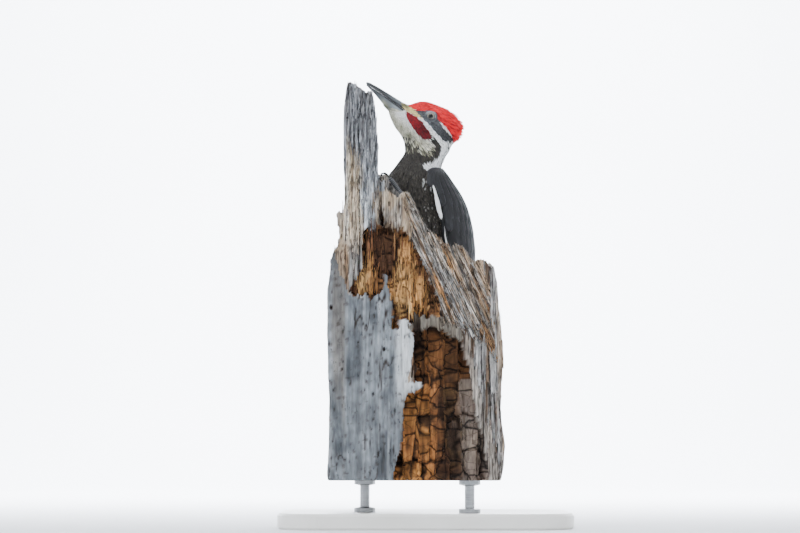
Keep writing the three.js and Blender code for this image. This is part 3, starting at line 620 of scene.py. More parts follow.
CROWN = [(44, 9), (49, 6.2), (54, 6.6), (59, 7.8), (64, 11.8), (69, 15.7), (74, 16.8), (80, 15.3), (85, 12.5), (94, 12.2),
         (102, 9.8), (107.7, 5.4), (112, 1.2), (116, 0), (130, 2), (130, 45), (44, 45)]
EYE_MASK = [(56, 6.4), (62, 5.2), (70, 4.1), (77, 3.6), (83, 2.2), (89, 0.8), (95, 0), (100, -0.4), (104, 1.2),
            (107, 4.5), (108, 12), (98, 9.2), (90, 10.6), (85, 11.4), (84, 16), (74, 18), (64, 13), (59, 9)]
EAR_LINE = [(84.5, 11.6), (90, 10.4), (97, 9.2), (103, 8.2), (102, 9.8), (94, 12.4), (86, 12.7)]
MALAR_STRIPE = [(50, -0.4), (56, 1.4), (62.5, 2), (69, 1.2), (76, -0.4), (82, -2.4), (85.5, -4.8), (87, -7.6), (85, -10.8),
                (80, -11.8), (75, -11.6), (69, -10.4), (63, -8), (57, -5.6), (52, -3)]
NOSTRIL_CREAM = [(36, 0.2), (49, 0.6), (57, 1.8), (64, 2.2), (67, 4.4), (62, 5.4), (56, 6.8), (49, 6.2), (36, 6)]
BLACK_BAND = [(3.6, 406.5), (2.4, 409.5), (6.4, 410.6), (9, 407.4), (16.9, 398.8), (15.8, 392.7), (12.4, 385.5), (4, 380), (4, 386), (8.2, 392.7),
              (8.8, 399), (3.5, 403)]
THROAT_EDGE = [(-60, 392.5), (-21.9, 391.8), (-7.9, 391.2), (0, 389), (5, 386.5), (8.6, 389), (9.4, 399), (3.6, 405.6)]
NECK_WHITE = [(9.5, 407), (16.9, 398.5), (15.6, 392.7), (12.4, 385.5), (7, 382.3), (-2.3, 376.6), (2, 371.5),
              (10, 366), (60, 366), (60, 412), (12, 412)]
NECK_RIM = [(24, 404), (29.5, 402), (26, 392), (20, 381), (15, 373), (12, 374), (17, 382), (22, 392)]


def inside(outline, x, z):
    """True for the points inside a closed outline."""
    hit = np.zeros(np.shape(x), bool)
    for (x0, z0), (x1, z1) in zip(outline, outline[1:] + outline[:1]):
        crosses = (z0 > z) != (z1 > z)
        rise = z1 - z0 if z1 != z0 else 1e-9
        hit ^= crosses & (x < (x1 - x0) * (z - z0) / rise + x0)
    return hit


def bird_yaw(z):
    """How far the bird is turned at this height: the head faces straight to the side and the body does not."""
    return BODY_YAW * smoothstep(410, 370, z)


def side_view(p):
    """x and z of points in the side view from the left, and how far round from the spine they lie, 0 to pi."""
    yaw = bird_yaw(p[..., 2])
    c, s = np.cos(yaw), np.sin(yaw)
    back = c * p[..., 0] + s * p[..., 1]
    side = -np.abs(-s * p[..., 0] + c * p[..., 1])
    x = c * back - s * side
    y = s * back + c * side
    nearer = 2400 / (2400 + y)
    round_from_spine = np.arctan2(-side, back - np.interp(p[..., 2], [360, 391, 410], [-8, 2, 4]))
    return x * nearer, 75 + (p[..., 2] - 75) * nearer, round_from_spine


def markings(p, ragged=0.0, seed=1):
    """The bird's colour at points. ragged moves each point a little first, which frays every border."""
    turn = np.random.default_rng(seed)
    p = p + turn.normal(size=p.shape) * ragged
    x, z, away = side_view(p)
    a = 0.8 * (x + 60) - 0.6 * (z - 464)
    b = 0.6 * (x + 60) + 0.8 * (z - 464)
    colour = np.broadcast_to(SOOT, p.shape).copy()
    patch = turn.uniform(size=a.shape)

    def lay(where, tone):
        colour[where] = tone if np.ndim(tone) == 1 else tone[where]

    head = z > np.interp(x, *zip(*THROAT_EDGE[:5]))
    head &= ~((z < 404) & (x > np.interp(z, [386.5, 389, 399, 405.6], [5, 8.6, 9.4, 3.6])))
    streak = smoothstep(0.1, 0.9, waves(np.stack([x * 0.9, z * 0.35], -1), 5.0, 3) * 0.5 + 0.5)
    pale = mix(THROAT, WHITE, smoothstep(-16, -3, b)[..., None])
    pale = mix(pale, OLIVE, (0.75 * smoothstep(-8, -19, b) * streak)[..., None])
    chin = smoothstep(47, 33, a) * smoothstep(-3, -9, b)
    pale = mix(pale, OLIVE, (0.6 * chin)[..., None])
    lay(head, pale)
    wedge = head & (z < 416) & (x < -7) & (patch < smoothstep(417, 393, z) * smoothstep(-6, -17, x) * 0.95)
    lay(wedge, mix(SOOT, OLIVE, 0.25))
    speckle = head & (z < 404) & (patch > 0.5) & (patch < 0.5 + 0.35 * smoothstep(404, 392, z))
    lay(speckle, mix(SOOT, OLIVE, 0.3))
    lay(inside(NECK_WHITE, x, z), WHITE)
    band = inside(BLACK_BAND, x, z)
    lay(band & (patch < 0.4 + 0.5 * smoothstep(-0.3, 0.4, waves(np.stack([x, z], -1), 4.0, 5))), SOOT)
    lay(inside(NOSTRIL_CREAM, a, b), mix(NOSTRIL, CREAM, smoothstep(46, 52, a)[..., None]))
    lay(inside(MALAR_STRIPE, a, b), mix(hex_rgb("#8c0d1b"), MALAR, smoothstep(58, 76, a)[..., None]))
    lay(inside(EYE_MASK, a, b), MASK * mix(1.15, 0.72, smoothstep(78, 100, a))[..., None])
    lay(inside(EAR_LINE, a, b), WHITE)
    lay(inside(CROWN, a, b) & (z > 392), RED)
    lay((away < 0.24) & (z < 402) & (a > 100), SOOT)
    rim = (np.abs(away - math.pi / 2) < 1.3) & inside(NECK_RIM, x, z) & (patch < 0.5)
    lay(rim, SOOT)
    return colour


# ------------------------------------------------------------------------------------------------ the skin
SKIN_VOXEL = 1.25
FLESH = ["head", "crest", "neck", "trunk", "wing_left", "wing_right", "thigh_left", "thigh_right"]
EYE_AT = {name: from_head(75.8, side * 11.9, 9.5) for name, side in SIDES.items()}
EYE_RADIUS = 5.2
LID_INNER = 4.3
LID_OUTER = 6.5


def wing_nearness(points):
    """1 on the folded wings and 0 elsewhere."""
    near = np.zeros(len(points))
    for name in SIDES:
        solid = solid_copy([f"wing_{name}"])
        away = nearest(tree_of(*arrays(solid)), points)[2]
        near = np.maximum(near, smoothstep(1.6, 0.5, away))
    return near


def make_skin():
    points, quads = remeshed(FLESH + ["eye_left", "eye_right"], SKIN_VOXEL, 0.22)
    a, y, b = to_head(points)
    on_head = smoothstep(396, 404, points[:, 2] + 0.45 * points[:, 0])
    points = smoothed(points, quads, 14, hold=0.55 * on_head)
    on_wing = wing_nearness(points)
    crest = on_head * smoothstep(8, 16, b) * smoothstep(52, 66, a)
    bill_edge = smoothstep(60, 46, a) * on_head
    # The skin lies under the coat by its depth: shallow on the face and wings, deep under the crest.
    depth = mix(2.3, 1.0, on_head) + 1.5 * crest * smoothstep(88, 108, a) - 0.5 * bill_edge
    depth = mix(depth, 0.7, on_wing)
    depth = smoothed(np.repeat(depth[:, None], 3, 1), quads, 6)[:, :1]
    points = points - normals_of(points, quads) * depth
    points = smoothed(points, quads, 3)
    skin = new_object("skin", points, quads, DOWN, "plumage_black", FLESH)
    paint(skin, markings(points))
    return skin, points, quads


skin, skin_points, skin_quads = make_skin()
skin_faces = triangles_of(skin_quads)
skin_tree = tree_of(skin_points, skin_faces)
skin_corners = skin_points[skin_faces]
skin_areas = np.linalg.norm(np.cross(skin_corners[:, 1] - skin_corners[:, 0], skin_corners[:, 2] - skin_corners[:, 0]),
                            axis=1) / 2


def unwrap(p):
    """A place on an unwrap of the skin: round the body's axis one way, and along it from bill to tail the other."""
    x, z, away = side_view(p)
    spine_x = np.interp(p[..., 2], [60, 190, 300, 380, 420, 464], [8, 31, 6, -6, 0, -50])
    yaw = bird_yaw(p[..., 2])
    back = np.cos(yaw) * p[..., 0] + np.sin(yaw) * p[..., 1] - spine_x
    side = -np.sin(yaw) * p[..., 0] + np.cos(yaw) * p[..., 1]
    round_axis = np.arctan2(side, back) / (2 * math.pi) + 0.5
    along = (p[..., 2] - 0.55 * back * smoothstep(385, 410, p[..., 2]) - 40) / 460
    return np.stack([0.02 + 0.96 * round_axis, np.clip(0.02 + 0.96 * along, 0.02, 0.98)], -1)


map_uv(skin, "OFBake", unwrap(skin_points))


# ------------------------------------------------------------------------------------------------ feathers
# How the coat lies, as (x, z, direction) in the side view: 0 degrees points to the bird's back, -90 down.
LAY = [(-14, 441, -4), (-6, 443, -8), (5, 441, -16), (21, 432, -30), (34, 423, -38), (32, 408, -62), (17, 427, -36),
       (8, 424, -42), (26, 406, -50), (-10, 431, -38), (5, 414, -46), (15, 402, -58), (26, 396, -96), (20, 383, -108),
       (10, 376, -116), (-5, 421, -46), (4, 409, -48), (-32, 427, -56), (-27, 414, -64), (-22, 401, -74),
       (-14, 414, -58), (2, 398, -44), (-6, 397, -52), (-22, 388, -112), (-34, 374, -114), (-16, 377, -98),
       (0, 382, -90), (-30, 350, -92), (0, 340, -84), (20, 300, -80), (25, 250, -82), (30, 200, -86)]
LAY_AT = np.array([(x, z) for x, z, _ in LAY], float)
LAY_WAY = np.array([(math.cos(math.radians(t)), math.sin(math.radians(t))) for _, _, t in LAY])


def lay_of_coat(p, normal):
    """The way that feathers point at places on the skin, along the skin."""
    x, z, _ = side_view(p)
    away = ((x[:, None] - LAY_AT[:, 0]) ** 2 + (z[:, None] - LAY_AT[:, 1]) ** 2 + 4.0) ** -2
    way = unit((away[:, :, None] * LAY_WAY).sum(1))
    yaw = bird_yaw(p[:, 2])
    world_way = np.stack([np.cos(yaw) * way[:, 0], np.sin(yaw) * way[:, 0], way[:, 1]], -1)
    along = world_way - normal * (world_way * normal).sum(1, keepdims=True)
    return unit(along), world_way


def scattered(region, spacing, seed):
    """Places on the skin's faces that region picks, no two nearer than spacing(places)."""
    turn = np.random.default_rng(seed)
    chosen = np.flatnonzero(region)
    share = skin_areas[chosen]
    reach = spacing(skin_corners[chosen].mean(1))
    count = int((share / reach ** 2).sum() * 4.5)
    weight = share / reach ** 2
    pick = chosen[turn.choice(len(chosen), count, p=weight / weight.sum())]
    mixes = turn.dirichlet([1, 1, 1], count)
    places = (skin_corners[pick] * mixes[:, :, None]).sum(1)
    reach = spacing(places)
    cell = reach.max()
    kept = []
    boxes = {}
    keys = np.floor(places / cell).astype(int).tolist()
    for i, (place, r, (kx, ky, kz)) in enumerate(zip(places.tolist(), reach.tolist(), keys)):
        clear = True
        for key in ((kx + u, ky + v, kz + w) for u in (-1, 0, 1) for v in (-1, 0, 1) for w in (-1, 0, 1)):
            for q in boxes.get(key, ()):
                if (q[0] - place[0]) ** 2 + (q[1] - place[1]) ** 2 + (q[2] - place[2]) ** 2 < r * r:
                    clear = False
                    break
            if not clear:
                break
        if clear:
            boxes.setdefault((kx, ky, kz), []).append(place)
            kept.append(i)
    return places[kept]


def draped(roots, ways, lengths, lift, rise, stations, tree, stand=0.0):
    """Midlines that follow the skin: points, outward normals and side vectors, one row for each feather.
    lift is the height over the skin at the root, and rise how much it gains by the tip."""
    steps = lengths / (stations - 1)
    where, normal, _ = nearest(tree, roots)
    way = unit(ways - normal * (ways * normal).sum(1, keepdims=True))
    middle, outward, across = [], [], []
    for k in range(stations):
        t = k / (stations - 1)
        high = lift + rise * t ** 0.8
        middle.append(where + normal * np.reshape(high, (-1, 1)))
        outward.append(normal)
        across.append(np.cross(way, normal))
        ahead = where + way * steps[:, None]
        where, fresh, away = nearest(tree, ahead)
        # Where the skin turns away sharply the feather keeps its course and stands free.
        turned = ((fresh * normal).sum(1, keepdims=True) < 0.55) | (away[:, None] > 0.75 * steps[:, None])
        normal = np.where(turned, normal, unit(mix(normal, fresh, 0.8)))
        where = np.where(turned, ahead, where)
        if stand:
            where = where + normal * stand * steps[:, None]
        way = unit(way - normal * (way * normal).sum(1, keepdims=True))
    return np.stack(middle, 1), np.stack(outward, 1), np.stack(across, 1)


def vane_arrays(middle, outward, across, widths, camber, thickness, columns, shaft=0.0):
    """Points, triangles, and (across, along) of closed thin vanes on these midlines.
    widths gives each vane's half width at each station on its left and right: shape (feathers, stations, 2).
    shaft is how far its quill stands up."""
    feathers, stations, _ = middle.shape
    c = np.linspace(-1, 1, columns)
    half = np.where(c[None, None, :] < 0, widths[:, :, :1], widths[:, :, 1:])
    bow = 1 - c ** 2
    span = (c * half)[..., None] * across[:, :, None]
    mean = widths.mean(2)[:, :, None, None]
    upper = middle[:, :, None] + span + (camber * bow)[None, None, :, None] * mean * outward[:, :, None]
    upper = upper + (thickness / 2 * bow + shaft * (c == 0))[None, None, :, None] * outward[:, :, None]
    inner = np.arange(columns - 2, 0, -2)
    lower = upper[:, :, inner] - (thickness * bow[inner])[None, None, :, None] * outward[:, :, None]
    ring = np.concatenate([upper, lower], 2)
    size = ring.shape[2]
    points = ring.reshape(-1, 3)
    start = (np.arange(feathers) * stations * size)[:, None]
    k, j = np.meshgrid(np.arange(stations - 1), np.arange(size), indexing="ij")
    here, beside = (k * size + j).ravel(), (k * size + (j + 1) % size).ravel()
    quads = np.stack([here, here + size, beside + size, beside], -1)
    body = np.concatenate([quads[:, [0, 1, 2]], quads[:, [0, 2, 3]]])
    fan = np.array([(0, i, i + 1) for i in range(1, size - 1)])
    last = (stations - 1) * size
    one = np.concatenate([body, fan, fan[:, ::-1] + last])
    triangles = (start[:, :, None] + one[None]).reshape(-1, 3)
    along = np.broadcast_to(np.linspace(0, 1, stations)[None, :, None], (feathers, stations, size))
    side = np.broadcast_to(np.concatenate([c, c[inner]])[None, None], (feathers, stations, size))
    return points, triangles, np.stack([side, along], -1).reshape(-1, 2)


BARB = 0.33  # millimetres between barbs, drawn twice as coarse as real ones so that they show


def coat_piece(name, groups, material, slot, stands_for=()):
    """One object from several groups of vanes. A group is (arrays, roots, lengths, colours for every point)."""
    points, triangles, vane, bake, colours = [], [], [], [], []
    offset = 0
    for (p, t, uv), roots, lengths, tone in groups:
        each = len(p) // len(roots)
        points.append(p)
        triangles.append(t + offset)
        offset += len(p)
        stretch = np.repeat(lengths, each) / BARB / 6
        vane.append(np.stack([uv[:, 0] * 2.2, uv[:, 1] * stretch], -1))
        patch = np.stack([uv[:, 0], uv[:, 1] * 2 - 1], -1) * 0.0014
        bake.append(np.repeat(unwrap(roots), each, 0) + patch)
        colours.append(tone)
    piece = new_object(name, np.concatenate(points), np.concatenate(triangles), material, slot, stands_for)
    paint(piece, np.clip(np.concatenate(colours), 0, 1))
    map_uv(piece, "OFBake", np.concatenate(bake))
    map_uv(piece, "Vane", np.concatenate(vane))
    return piece


PIECE_LIMIT = 190000  # triangles


def coat_pieces(name, made, roots, lengths, tone, material, slot):
    """The same in as many pieces as keep each one light, every piece taking feathers from all over."""
    points, triangles, uv = made
    each, faces_each = len(points) // len(roots), len(triangles) // len(roots)
    parts = math.ceil(len(triangles) / PIECE_LIMIT)
    for part in range(parts):
        rows = np.arange(part, len(roots), parts)
        of_rows = [values.reshape(len(roots), each, -1)[rows].reshape(len(rows) * each, -1)
                   for values in (points, uv, tone)]
        group = ((of_rows[0], triangles[:len(rows) * faces_each], of_rows[1]), roots[rows], lengths[rows], of_rows[2])
        coat_piece(name if parts == 1 else f"{name}_{part + 1}", [group], material, slot)


def outline_widths(count, profile, half, uneven, seed):
    """Half widths for each station on both sides, from a profile of the vane's outline, with ragged rims."""
    turn = np.random.default_rng(seed)
    base = np.asarray(profile)[None, :, None] * np.reshape(half, (-1, 1, 1))
    return base * (1 + turn.uniform(-uneven, uneven, (count, len(profile), 2)))


TUFT = (0.4, 0.85, 1.0, 0.95, 0.65, 0.15)
LOCK = (0.5, 1.0, 0.95, 0.62, 0.08)
HAIR = (0.6, 1.0, 0.8, 0.45, 0.05)

face_at = skin_corners.mean(1)
face_view_x, face_view_z, _ = side_view(face_at)
face_a = 0.8 * (face_view_x + 60) - 0.6 * (face_view_z - 464)
face_b = 0.6 * (face_view_x + 60) + 0.8 * (face_view_z - 464)
of_head = face_at[:, 2] + 0.45 * face_at[:, 0] > 398
of_wing = wing_nearness(face_at) > 0.5
of_crown = of_head & inside(CROWN, face_a, face_b) & (face_view_z > 392)
of_neck = ~of_head & (face_at[:, 2] + 0.3 * face_at[:, 0] > 366) & ~of_wing
by_eye = np.minimum(*[np.linalg.norm(face_at - EYE_AT[name], axis=1) for name in SIDES]) < LID_OUTER + 0.4
# The bare sides of the lower mandible reach back in a point to the gape, and the culmen to the crown.
frayed = 1.3 * waves(face_at, 2.6, 19)
by_bill = (face_b < 0.4) & (face_b > -9.6 + (face_a - 28.6) * 0.36 + frayed) & (face_a < 51.5 + frayed)
by_bill |= (face_b >= 0.4) & (face_a < 39 + 1.1 * np.clip(face_b, 0, 7))


def coat(name, region, spacing, length, half, profile, columns, material, slot, seed,
         rise=0.7, camber=0.12, thickness=0.22, uneven=0.12, stray=0.08, vary=0.10, ragged=0.5,
         colour_shift=0.35, finish=None, trim=None):
    """Covers a region of the skin in feathers. spacing, length and half are functions of place, in millimetres."""
    turn = np.random.default_rng(seed)
    roots = scattered(region, spacing, seed)
    _, normal, _ = nearest(skin_tree, roots)
    along, world_way = lay_of_coat(roots, normal)
    facing_back = np.clip((world_way * normal).sum(1, keepdims=True), 0, 1)
    along = unit(along + world_way * facing_back)
    along = unit(along + np.cross(normal, along) * turn.normal(0, stray, (len(roots), 1)))
    long = length(roots) * turn.uniform(0.85, 1.15, len(roots))
    for name_of_eye in SIDES:
        # Feathers in front of an eye stop short of its lids.
        to_eye = EYE_AT[name_of_eye] - roots
        far = np.linalg.norm(to_eye, axis=1)
        ahead = (to_eye * along).sum(1) / far > 0.55
        long = np.where(ahead & (far < 14), np.minimum(long, np.maximum(far - LID_OUTER + 0.8, 1.0)), long)
    if trim:
        long = trim(roots, along, long, turn)
    stations = len(profile)
    lift = turn.uniform(0.0, 0.35, len(roots))
    middle, outward, across = draped(roots, along, long, lift, rise * long / 8, stations, skin_tree)
    widths = outline_widths(len(roots), profile, half(roots), uneven, seed + 1)
    made = vane_arrays(middle, outward, across, widths, camber, thickness, columns)
    each = len(made[0]) // len(roots)
    tone = markings(roots + along * (long * colour_shift)[:, None], ragged, seed + 2)
    tone = tone * (1 + turn.normal(0, vary, (len(roots), 1)))
    tone = np.repeat(tone, each, 0)
    tips = made[2][:, 1:]
    tone = tone * mix(0.72, 1.06, smoothstep(0.1, 0.75, tips))
    if finish:
        tone = finish(tone, np.repeat(roots, each, 0), made[2], np.repeat(turn.uniform(size=len(roots)), each))
    print(name, len(roots), "feathers", len(made[1]), "triangles")
    coat_pieces(name, made, roots, long, tone, material, slot)


CREST_REAR = [(-8, 107), (0, 111), (15, 111.5), (23, 108.5), (26, 101)]  # (b, a) of the crest's rear edge


def before_crest_edge(roots, along, long, turn):
    """Feathers shortened so that they end at the crest's rear edge, a little unevenly."""
    a, _, b = to_head(roots)
    backward = math.cos(HEAD_TILT) * along[:, 0] - math.sin(HEAD_TILT) * along[:, 2]
    limit = np.interp(b, *zip(*CREST_REAR)) + turn.normal(0, 0.8, len(roots))
    room = np.maximum((limit - a) / np.maximum(backward, 0.25), 1.6)
    return np.where(backward > 0.1, np.minimum(long, room), long)


def face_length(p):
    a, _, b = to_head(p)
    return 1.7 + 2.6 * smoothstep(46, 84, a) + 2.2 * smoothstep(-6, -20, b)


def crown_length(p):
    a, _, b = to_head(p)
    return 3.2 + 3.2 * smoothstep(52, 84, a) + 3.6 * smoothstep(88, 108, a)


def face_lights(tone, roots, uv, chance):
    """Dark face feathers vary and have paler tips, and white ones throw small grey shadows."""
    dark = tone.mean(1, keepdims=True) < 0.45
    varied = tone * mix(0.72, 1.3, chance)[:, None]
    return np.where(dark, varied, tone * (1 - 0.1 * (chance < 0.18))[:, None])


def red_lights(tone, roots, uv, chance):
    """Some crown feathers catch the light and a few are deeper red."""
    red = (tone[:, :1] > 0.55) & (tone[:, 1:2] < 0.3)
    bright = mix(tone, hex_rgb("#ff5f60"), (0.6 * smoothstep(0.6, 0.95, chance) * uv[:, 1])[:, None])
    deep = mix(bright, hex_rgb("#8d1018"), (0.6 * (chance < 0.06))[:, None])
    return np.where(red, deep, tone)


def pale_bars(tone, roots, uv, chance):
    """Narrow pale tips on some of the flank feathers, and the white fluff under the wing."""
    x, z, away = side_view(roots)
    tone = tone * (1 + 0.22 * smoothstep(0.55, 0.95, np.abs(uv[:, 0])) * smoothstep(0.3, 0.8, uv[:, 1]))[:, None]
    tone = mix(tone, tone * (0.62, 0.64, 0.7), smoothstep(1.5, 0.9, away)[:, None])
    flank = smoothstep(338, 322, z) * smoothstep(262, 300, z) * smoothstep(-12, -2, x) * smoothstep(1.1, 1.5, away)
    tip = smoothstep(0.8, 0.93, uv[:, 1]) * (chance < 0.45)
    tone = mix(tone, hex_rgb("#a7a49c"), (0.55 * flank * tip)[:, None])
    shoulder = inside([(-2, 367), (3, 365), (7, 357), (4, 353), (-2, 359)], x, z) & (chance < 0.35)
    tone = np.where((shoulder & (uv[:, 1] > 0.6))[:, None], hex_rgb("#c4c4c1"), tone)
    side_bars = inside([(-4, 350), (8, 352), (13, 318), (2, 318)], x, z) & (chance < 0.22) & (uv[:, 1] > 0.75)
    tone = np.where(side_bars[:, None], hex_rgb("#8f8e8a"), tone)
    fluff = inside([(-2, 315), (3, 316), (8, 300), (7, 291), (2, 296)], x, z) & (chance < 0.75)
    return np.where(fluff[:, None], hex_rgb("#c9c7c1"), tone)


coat("coat_face", of_head & ~of_crown & ~by_eye & ~by_bill, lambda p: 0.55 + 0.25 * smoothstep(46, 84, to_head(p)[0]),
     face_length, lambda p: 0.34 + 0.2 * smoothstep(46, 84, to_head(p)[0]), LOCK, 3, SOFT_FEATHER,
     "plumage_white", 11, rise=0.5, thickness=0.2, ragged=0.35, vary=0.05, finish=face_lights)
coat("coat_crown", of_crown & ~by_eye & ~by_bill, lambda p: 0.68 + 0.2 * smoothstep(60, 90, to_head(p)[0]),
     crown_length, lambda p: 0.4 + 0.2 * smoothstep(60, 90, to_head(p)[0]), LOCK, 3, SILKY_FEATHER,
     "plumage_red", 21, rise=0.9, thickness=0.25, ragged=0.3, vary=0.1, stray=0.14, finish=red_lights,
     trim=before_crest_edge)
coat("coat_neck", of_neck, lambda p: np.full(len(p), 1.05), lambda p: np.full(len(p), 6.5),
     lambda p: np.full(len(p), 0.85), HAIR, 3, SOFT_FEATHER, "plumage_black", 31, rise=0.9, thickness=0.25,
     ragged=0.8, vary=0.14)
coat("coat_trunk", ~of_head & ~of_neck & ~of_wing, lambda p: 1.35 + 0.5 * smoothstep(330, 260, p[:, 2]),
     lambda p: 7.5 + 3.5 * smoothstep(330, 260, p[:, 2]), lambda p: 1.15 + 0.45 * smoothstep(330, 260, p[:, 2]),
     TUFT, 3, SOFT_FEATHER, "plumage_black", 41, rise=0.9, thickness=0.2, camber=0.1, uneven=0.3,
     vary=0.11, stray=0.16, finish=pale_bars)


def crest_tips():
    """Long pointed plumes whose ends stand free and fray the crest's rear edge."""
    turn = np.random.default_rng(51)
    edge = of_crown & (face_a > 74) & (face_b > 8) & ~by_eye
    roots = scattered(edge, lambda p: np.full(len(p), 1.5), 52)
    a, _, b = to_head(roots)
    _, normal, _ = nearest(skin_tree, roots)
    sweep = mix(-24, -44, smoothstep(84, 112, a)) + turn.normal(0, 5, len(roots))
    along = np.stack([np.cos(np.radians(sweep)), turn.normal(0, 0.06, len(roots)), np.sin(np.radians(sweep))], -1)
    rear = smoothstep(84, 106, a)
    long = mix(5.5, 7.5, rear) * turn.uniform(0.8, 1.25, len(roots))
    long = before_crest_edge(roots, along, long, turn) * turn.uniform(0.95, 1.3, len(roots))
    steps = np.linspace(0, 1, 6)
    lifted = unit(along + normal * 0.14)
    droop = np.array([0, 0, -1.0])
    middle = (roots[:, None] + normal[:, None] * 0.3 + lifted[:, None] * (long[:, None] * steps)[..., None]
              + droop * (0.09 * long[:, None] * steps ** 2)[..., None])
    across = unit(np.cross(lifted, normal))
    outward = np.broadcast_to(unit(np.cross(across, lifted))[:, None], middle.shape)
    across = np.broadcast_to(across[:, None], middle.shape)
    widths = outline_widths(len(roots), (0.5, 0.9, 1.0, 0.85, 0.5, 0.06), mix(0.5, 0.8, rear), 0.15, 53)
    made = vane_arrays(middle, outward, across, widths, 0.2, 0.35, 3)
    each = len(made[0]) // len(roots)
    tone = RED * (1 + turn.normal(0, 0.1, (len(roots), 1)))
    tone = np.repeat(tone, each, 0) * mix(0.7, 1.06, smoothstep(0.1, 0.6, made[2][:, 1:]))
    tone = red_lights(tone, roots, made[2], np.repeat(turn.uniform(size=len(roots)), each))
    return coat_piece("crest_plumes", [(made, roots, long, tone)], SILKY_FEATHER, "plumage_red")


crest_tips()


# ------------------------------------------------------------------------------------------------ flight feathers
# The folded wing's outer face in the body frame: rows of z, the leading edge's x and half span, the trailing edge's
# x and half span, and how far the face bulges.
WING_ROWS = np.array([
    (143, 36, 12, 38.5, 8, 1), (150, 34, 15.5, 40, 6, 2.5), (168, 31, 20.5, 43.5, 3.6, 5),
    (190, 27, 25, 47, 2.8, 7), (215, 21.5, 29.5, 50.5, 2.8, 9.5), (240, 15, 33.5, 53, 3.6, 11.5),
    (265, 8, 37.4, 54, 5, 13), (290, 1, 40, 52.8, 7, 14.5), (310, -5, 41.3, 48.8, 9, 14.8),
    (330, -11, 41.8, 41.8, 11, 14), (345, -15.5, 41, 33, 12.5, 12), (357, -18, 38, 22.5, 15.5, 9),
    (366, -13, 33, 13.5, 19, 5.5), (372, -4, 27, 5, 23, 2)])
TAIL_ROWS = np.array([(58, 7.6), (75, 12), (95, 17.4), (120, 23.6), (150, 29), (180, 32.6), (212, 35), (232, 36)])
FLIGHT_STATIONS = 14
COLUMNS = 9


def along_rows(rows, at):
    """A smooth curve through the rows, against their first column."""
    k = np.clip(np.searchsorted(rows[:, 0], at, side="right") - 1, 0, len(rows) - 2)
    slope = np.gradient(rows[:, 1:], rows[:, 0], axis=0)
    span = (rows[k + 1, 0] - rows[k, 0])[..., None]
    t = np.clip((at - rows[k, 0])[..., None] / span, 0, 1)
    low, high = rows[k, 1:], rows[k + 1, 1:]
    return (low * (1 + 2 * t) * (1 - t) ** 2 + high * t * t * (3 - 2 * t)
            + span * (slope[k] * t * (1 - t) ** 2 - slope[k + 1] * t * t * (1 - t)))


def wing_face(side, z, c, lift):
    """Places over the wing's outer face. c runs from -1 on the leading edge to 1 on the trailing edge."""
    lead_x, lead_span, trail_x, trail_span, bulge = np.moveaxis(along_rows(WING_ROWS, z), -1, 0)
    share = (c + 1) / 2
    out_x, out_span = lead_span - trail_span, trail_x - lead_x
    size = np.hypot(out_x, out_span)
    rise = bulge * (1 - c * c) + lift
    x = mix(lead_x, trail_x, share) + rise * out_x / size
    span = mix(lead_span, trail_span, share) + rise * out_span / size
    return from_body(np.stack([x, side * span, z], -1))


def tail_face(side, z, c, lift):
    """Places over the tail's back, c from -1 on the left edge to 1 on the right edge."""
    half = mix(9, 28.5, smoothstep(232, 58, z))
    span = c * half
    x = along_rows(TAIL_ROWS, z)[..., 0] - span ** 2 / 95 + lift
    return from_body(np.stack([x, span, z], -1))


def laid_feather(face, side, root, tip, half, order, roll, profile, tip_lift=0.5):
    """One long feather on a face, from root to tip, which are (z, c). order lifts it over the ones below it."""
    t = np.linspace(0, 1, FLIGHT_STATIONS)
    z = mix(root[0], tip[0], t)
    c = mix(root[1], tip[1], t ** 1.2)
    lift = order + tip_lift * t
    middle = face(side, z, c, lift)
    step = 0.02
    beside = unit(face(side, z, c + step, lift) - face(side, z, c - step, lift))
    forward = unit(np.gradient(middle, axis=0))
    outward = unit(np.cross(beside, forward))
    outward = np.where((outward * (face(side, z, c, lift + 1) - middle)).sum(1, keepdims=True) < 0, -outward, outward)
    across = unit(np.cross(forward, outward))
    across = unit(across + outward * roll * (1 if (across * beside).sum() > 0 else -1))
    outward = unit(np.cross(across, forward))
    outward = np.where((outward * (face(side, z, c, lift + 1) - middle)).sum(1, keepdims=True) < 0, -outward, outward)
    width = np.stack([profile(t) * half, profile(t) * half * 0.9], 1)
    return middle, outward, across, width


def round_tip(t):
    return np.sqrt(np.clip(1 - np.clip((t - 0.72) / 0.28, 0, 1) ** 2.4, 0.0025, 1)) * mix(0.7, 1, smoothstep(0, 0.3, t))


def sharp_tip(t):
    return np.clip(1 - np.clip((t - 0.6) / 0.4, 0, 1) ** 2.0, 0.04, 1) * mix(0.6, 1, smoothstep(0, 0.3, t))


def flight_piece(name, feathers, tones, material, slot, stands_for=(), shaft=0.4, thickness=0.35):
    """One object of long feathers. tones gives each feather's colour at (root, tip, rim, shaft)."""
    middle, outward, across, width = (np.stack(part) for part in zip(*feathers))
    made = vane_arrays(middle, outward, across, width, 0.16, thickness, COLUMNS, shaft)
    long = np.linalg.norm(middle[:, -1] - middle[:, 0], axis=1)
    each = len(made[0]) // len(feathers)
    uv = made[2]
    tones = np.repeat(np.array(tones), each, 0)
    tone = mix(tones[:, 0], tones[:, 1], uv[:, 1:] ** 1.5)
    rim = smoothstep(0.8, 1.0, np.abs(uv[:, 0])) + smoothstep(0.94, 1.0, uv[:, 1])
    tone = mix(tone, tones[:, 2], np.clip(rim, 0, 1)[:, None] * 0.8)
    tone = mix(tone, tones[:, 3], (np.abs(uv[:, 0]) < 0.05)[:, None] * 0.8)
    return coat_piece(name, [(made, middle[:, 0], long, tone)], material, slot, stands_for)


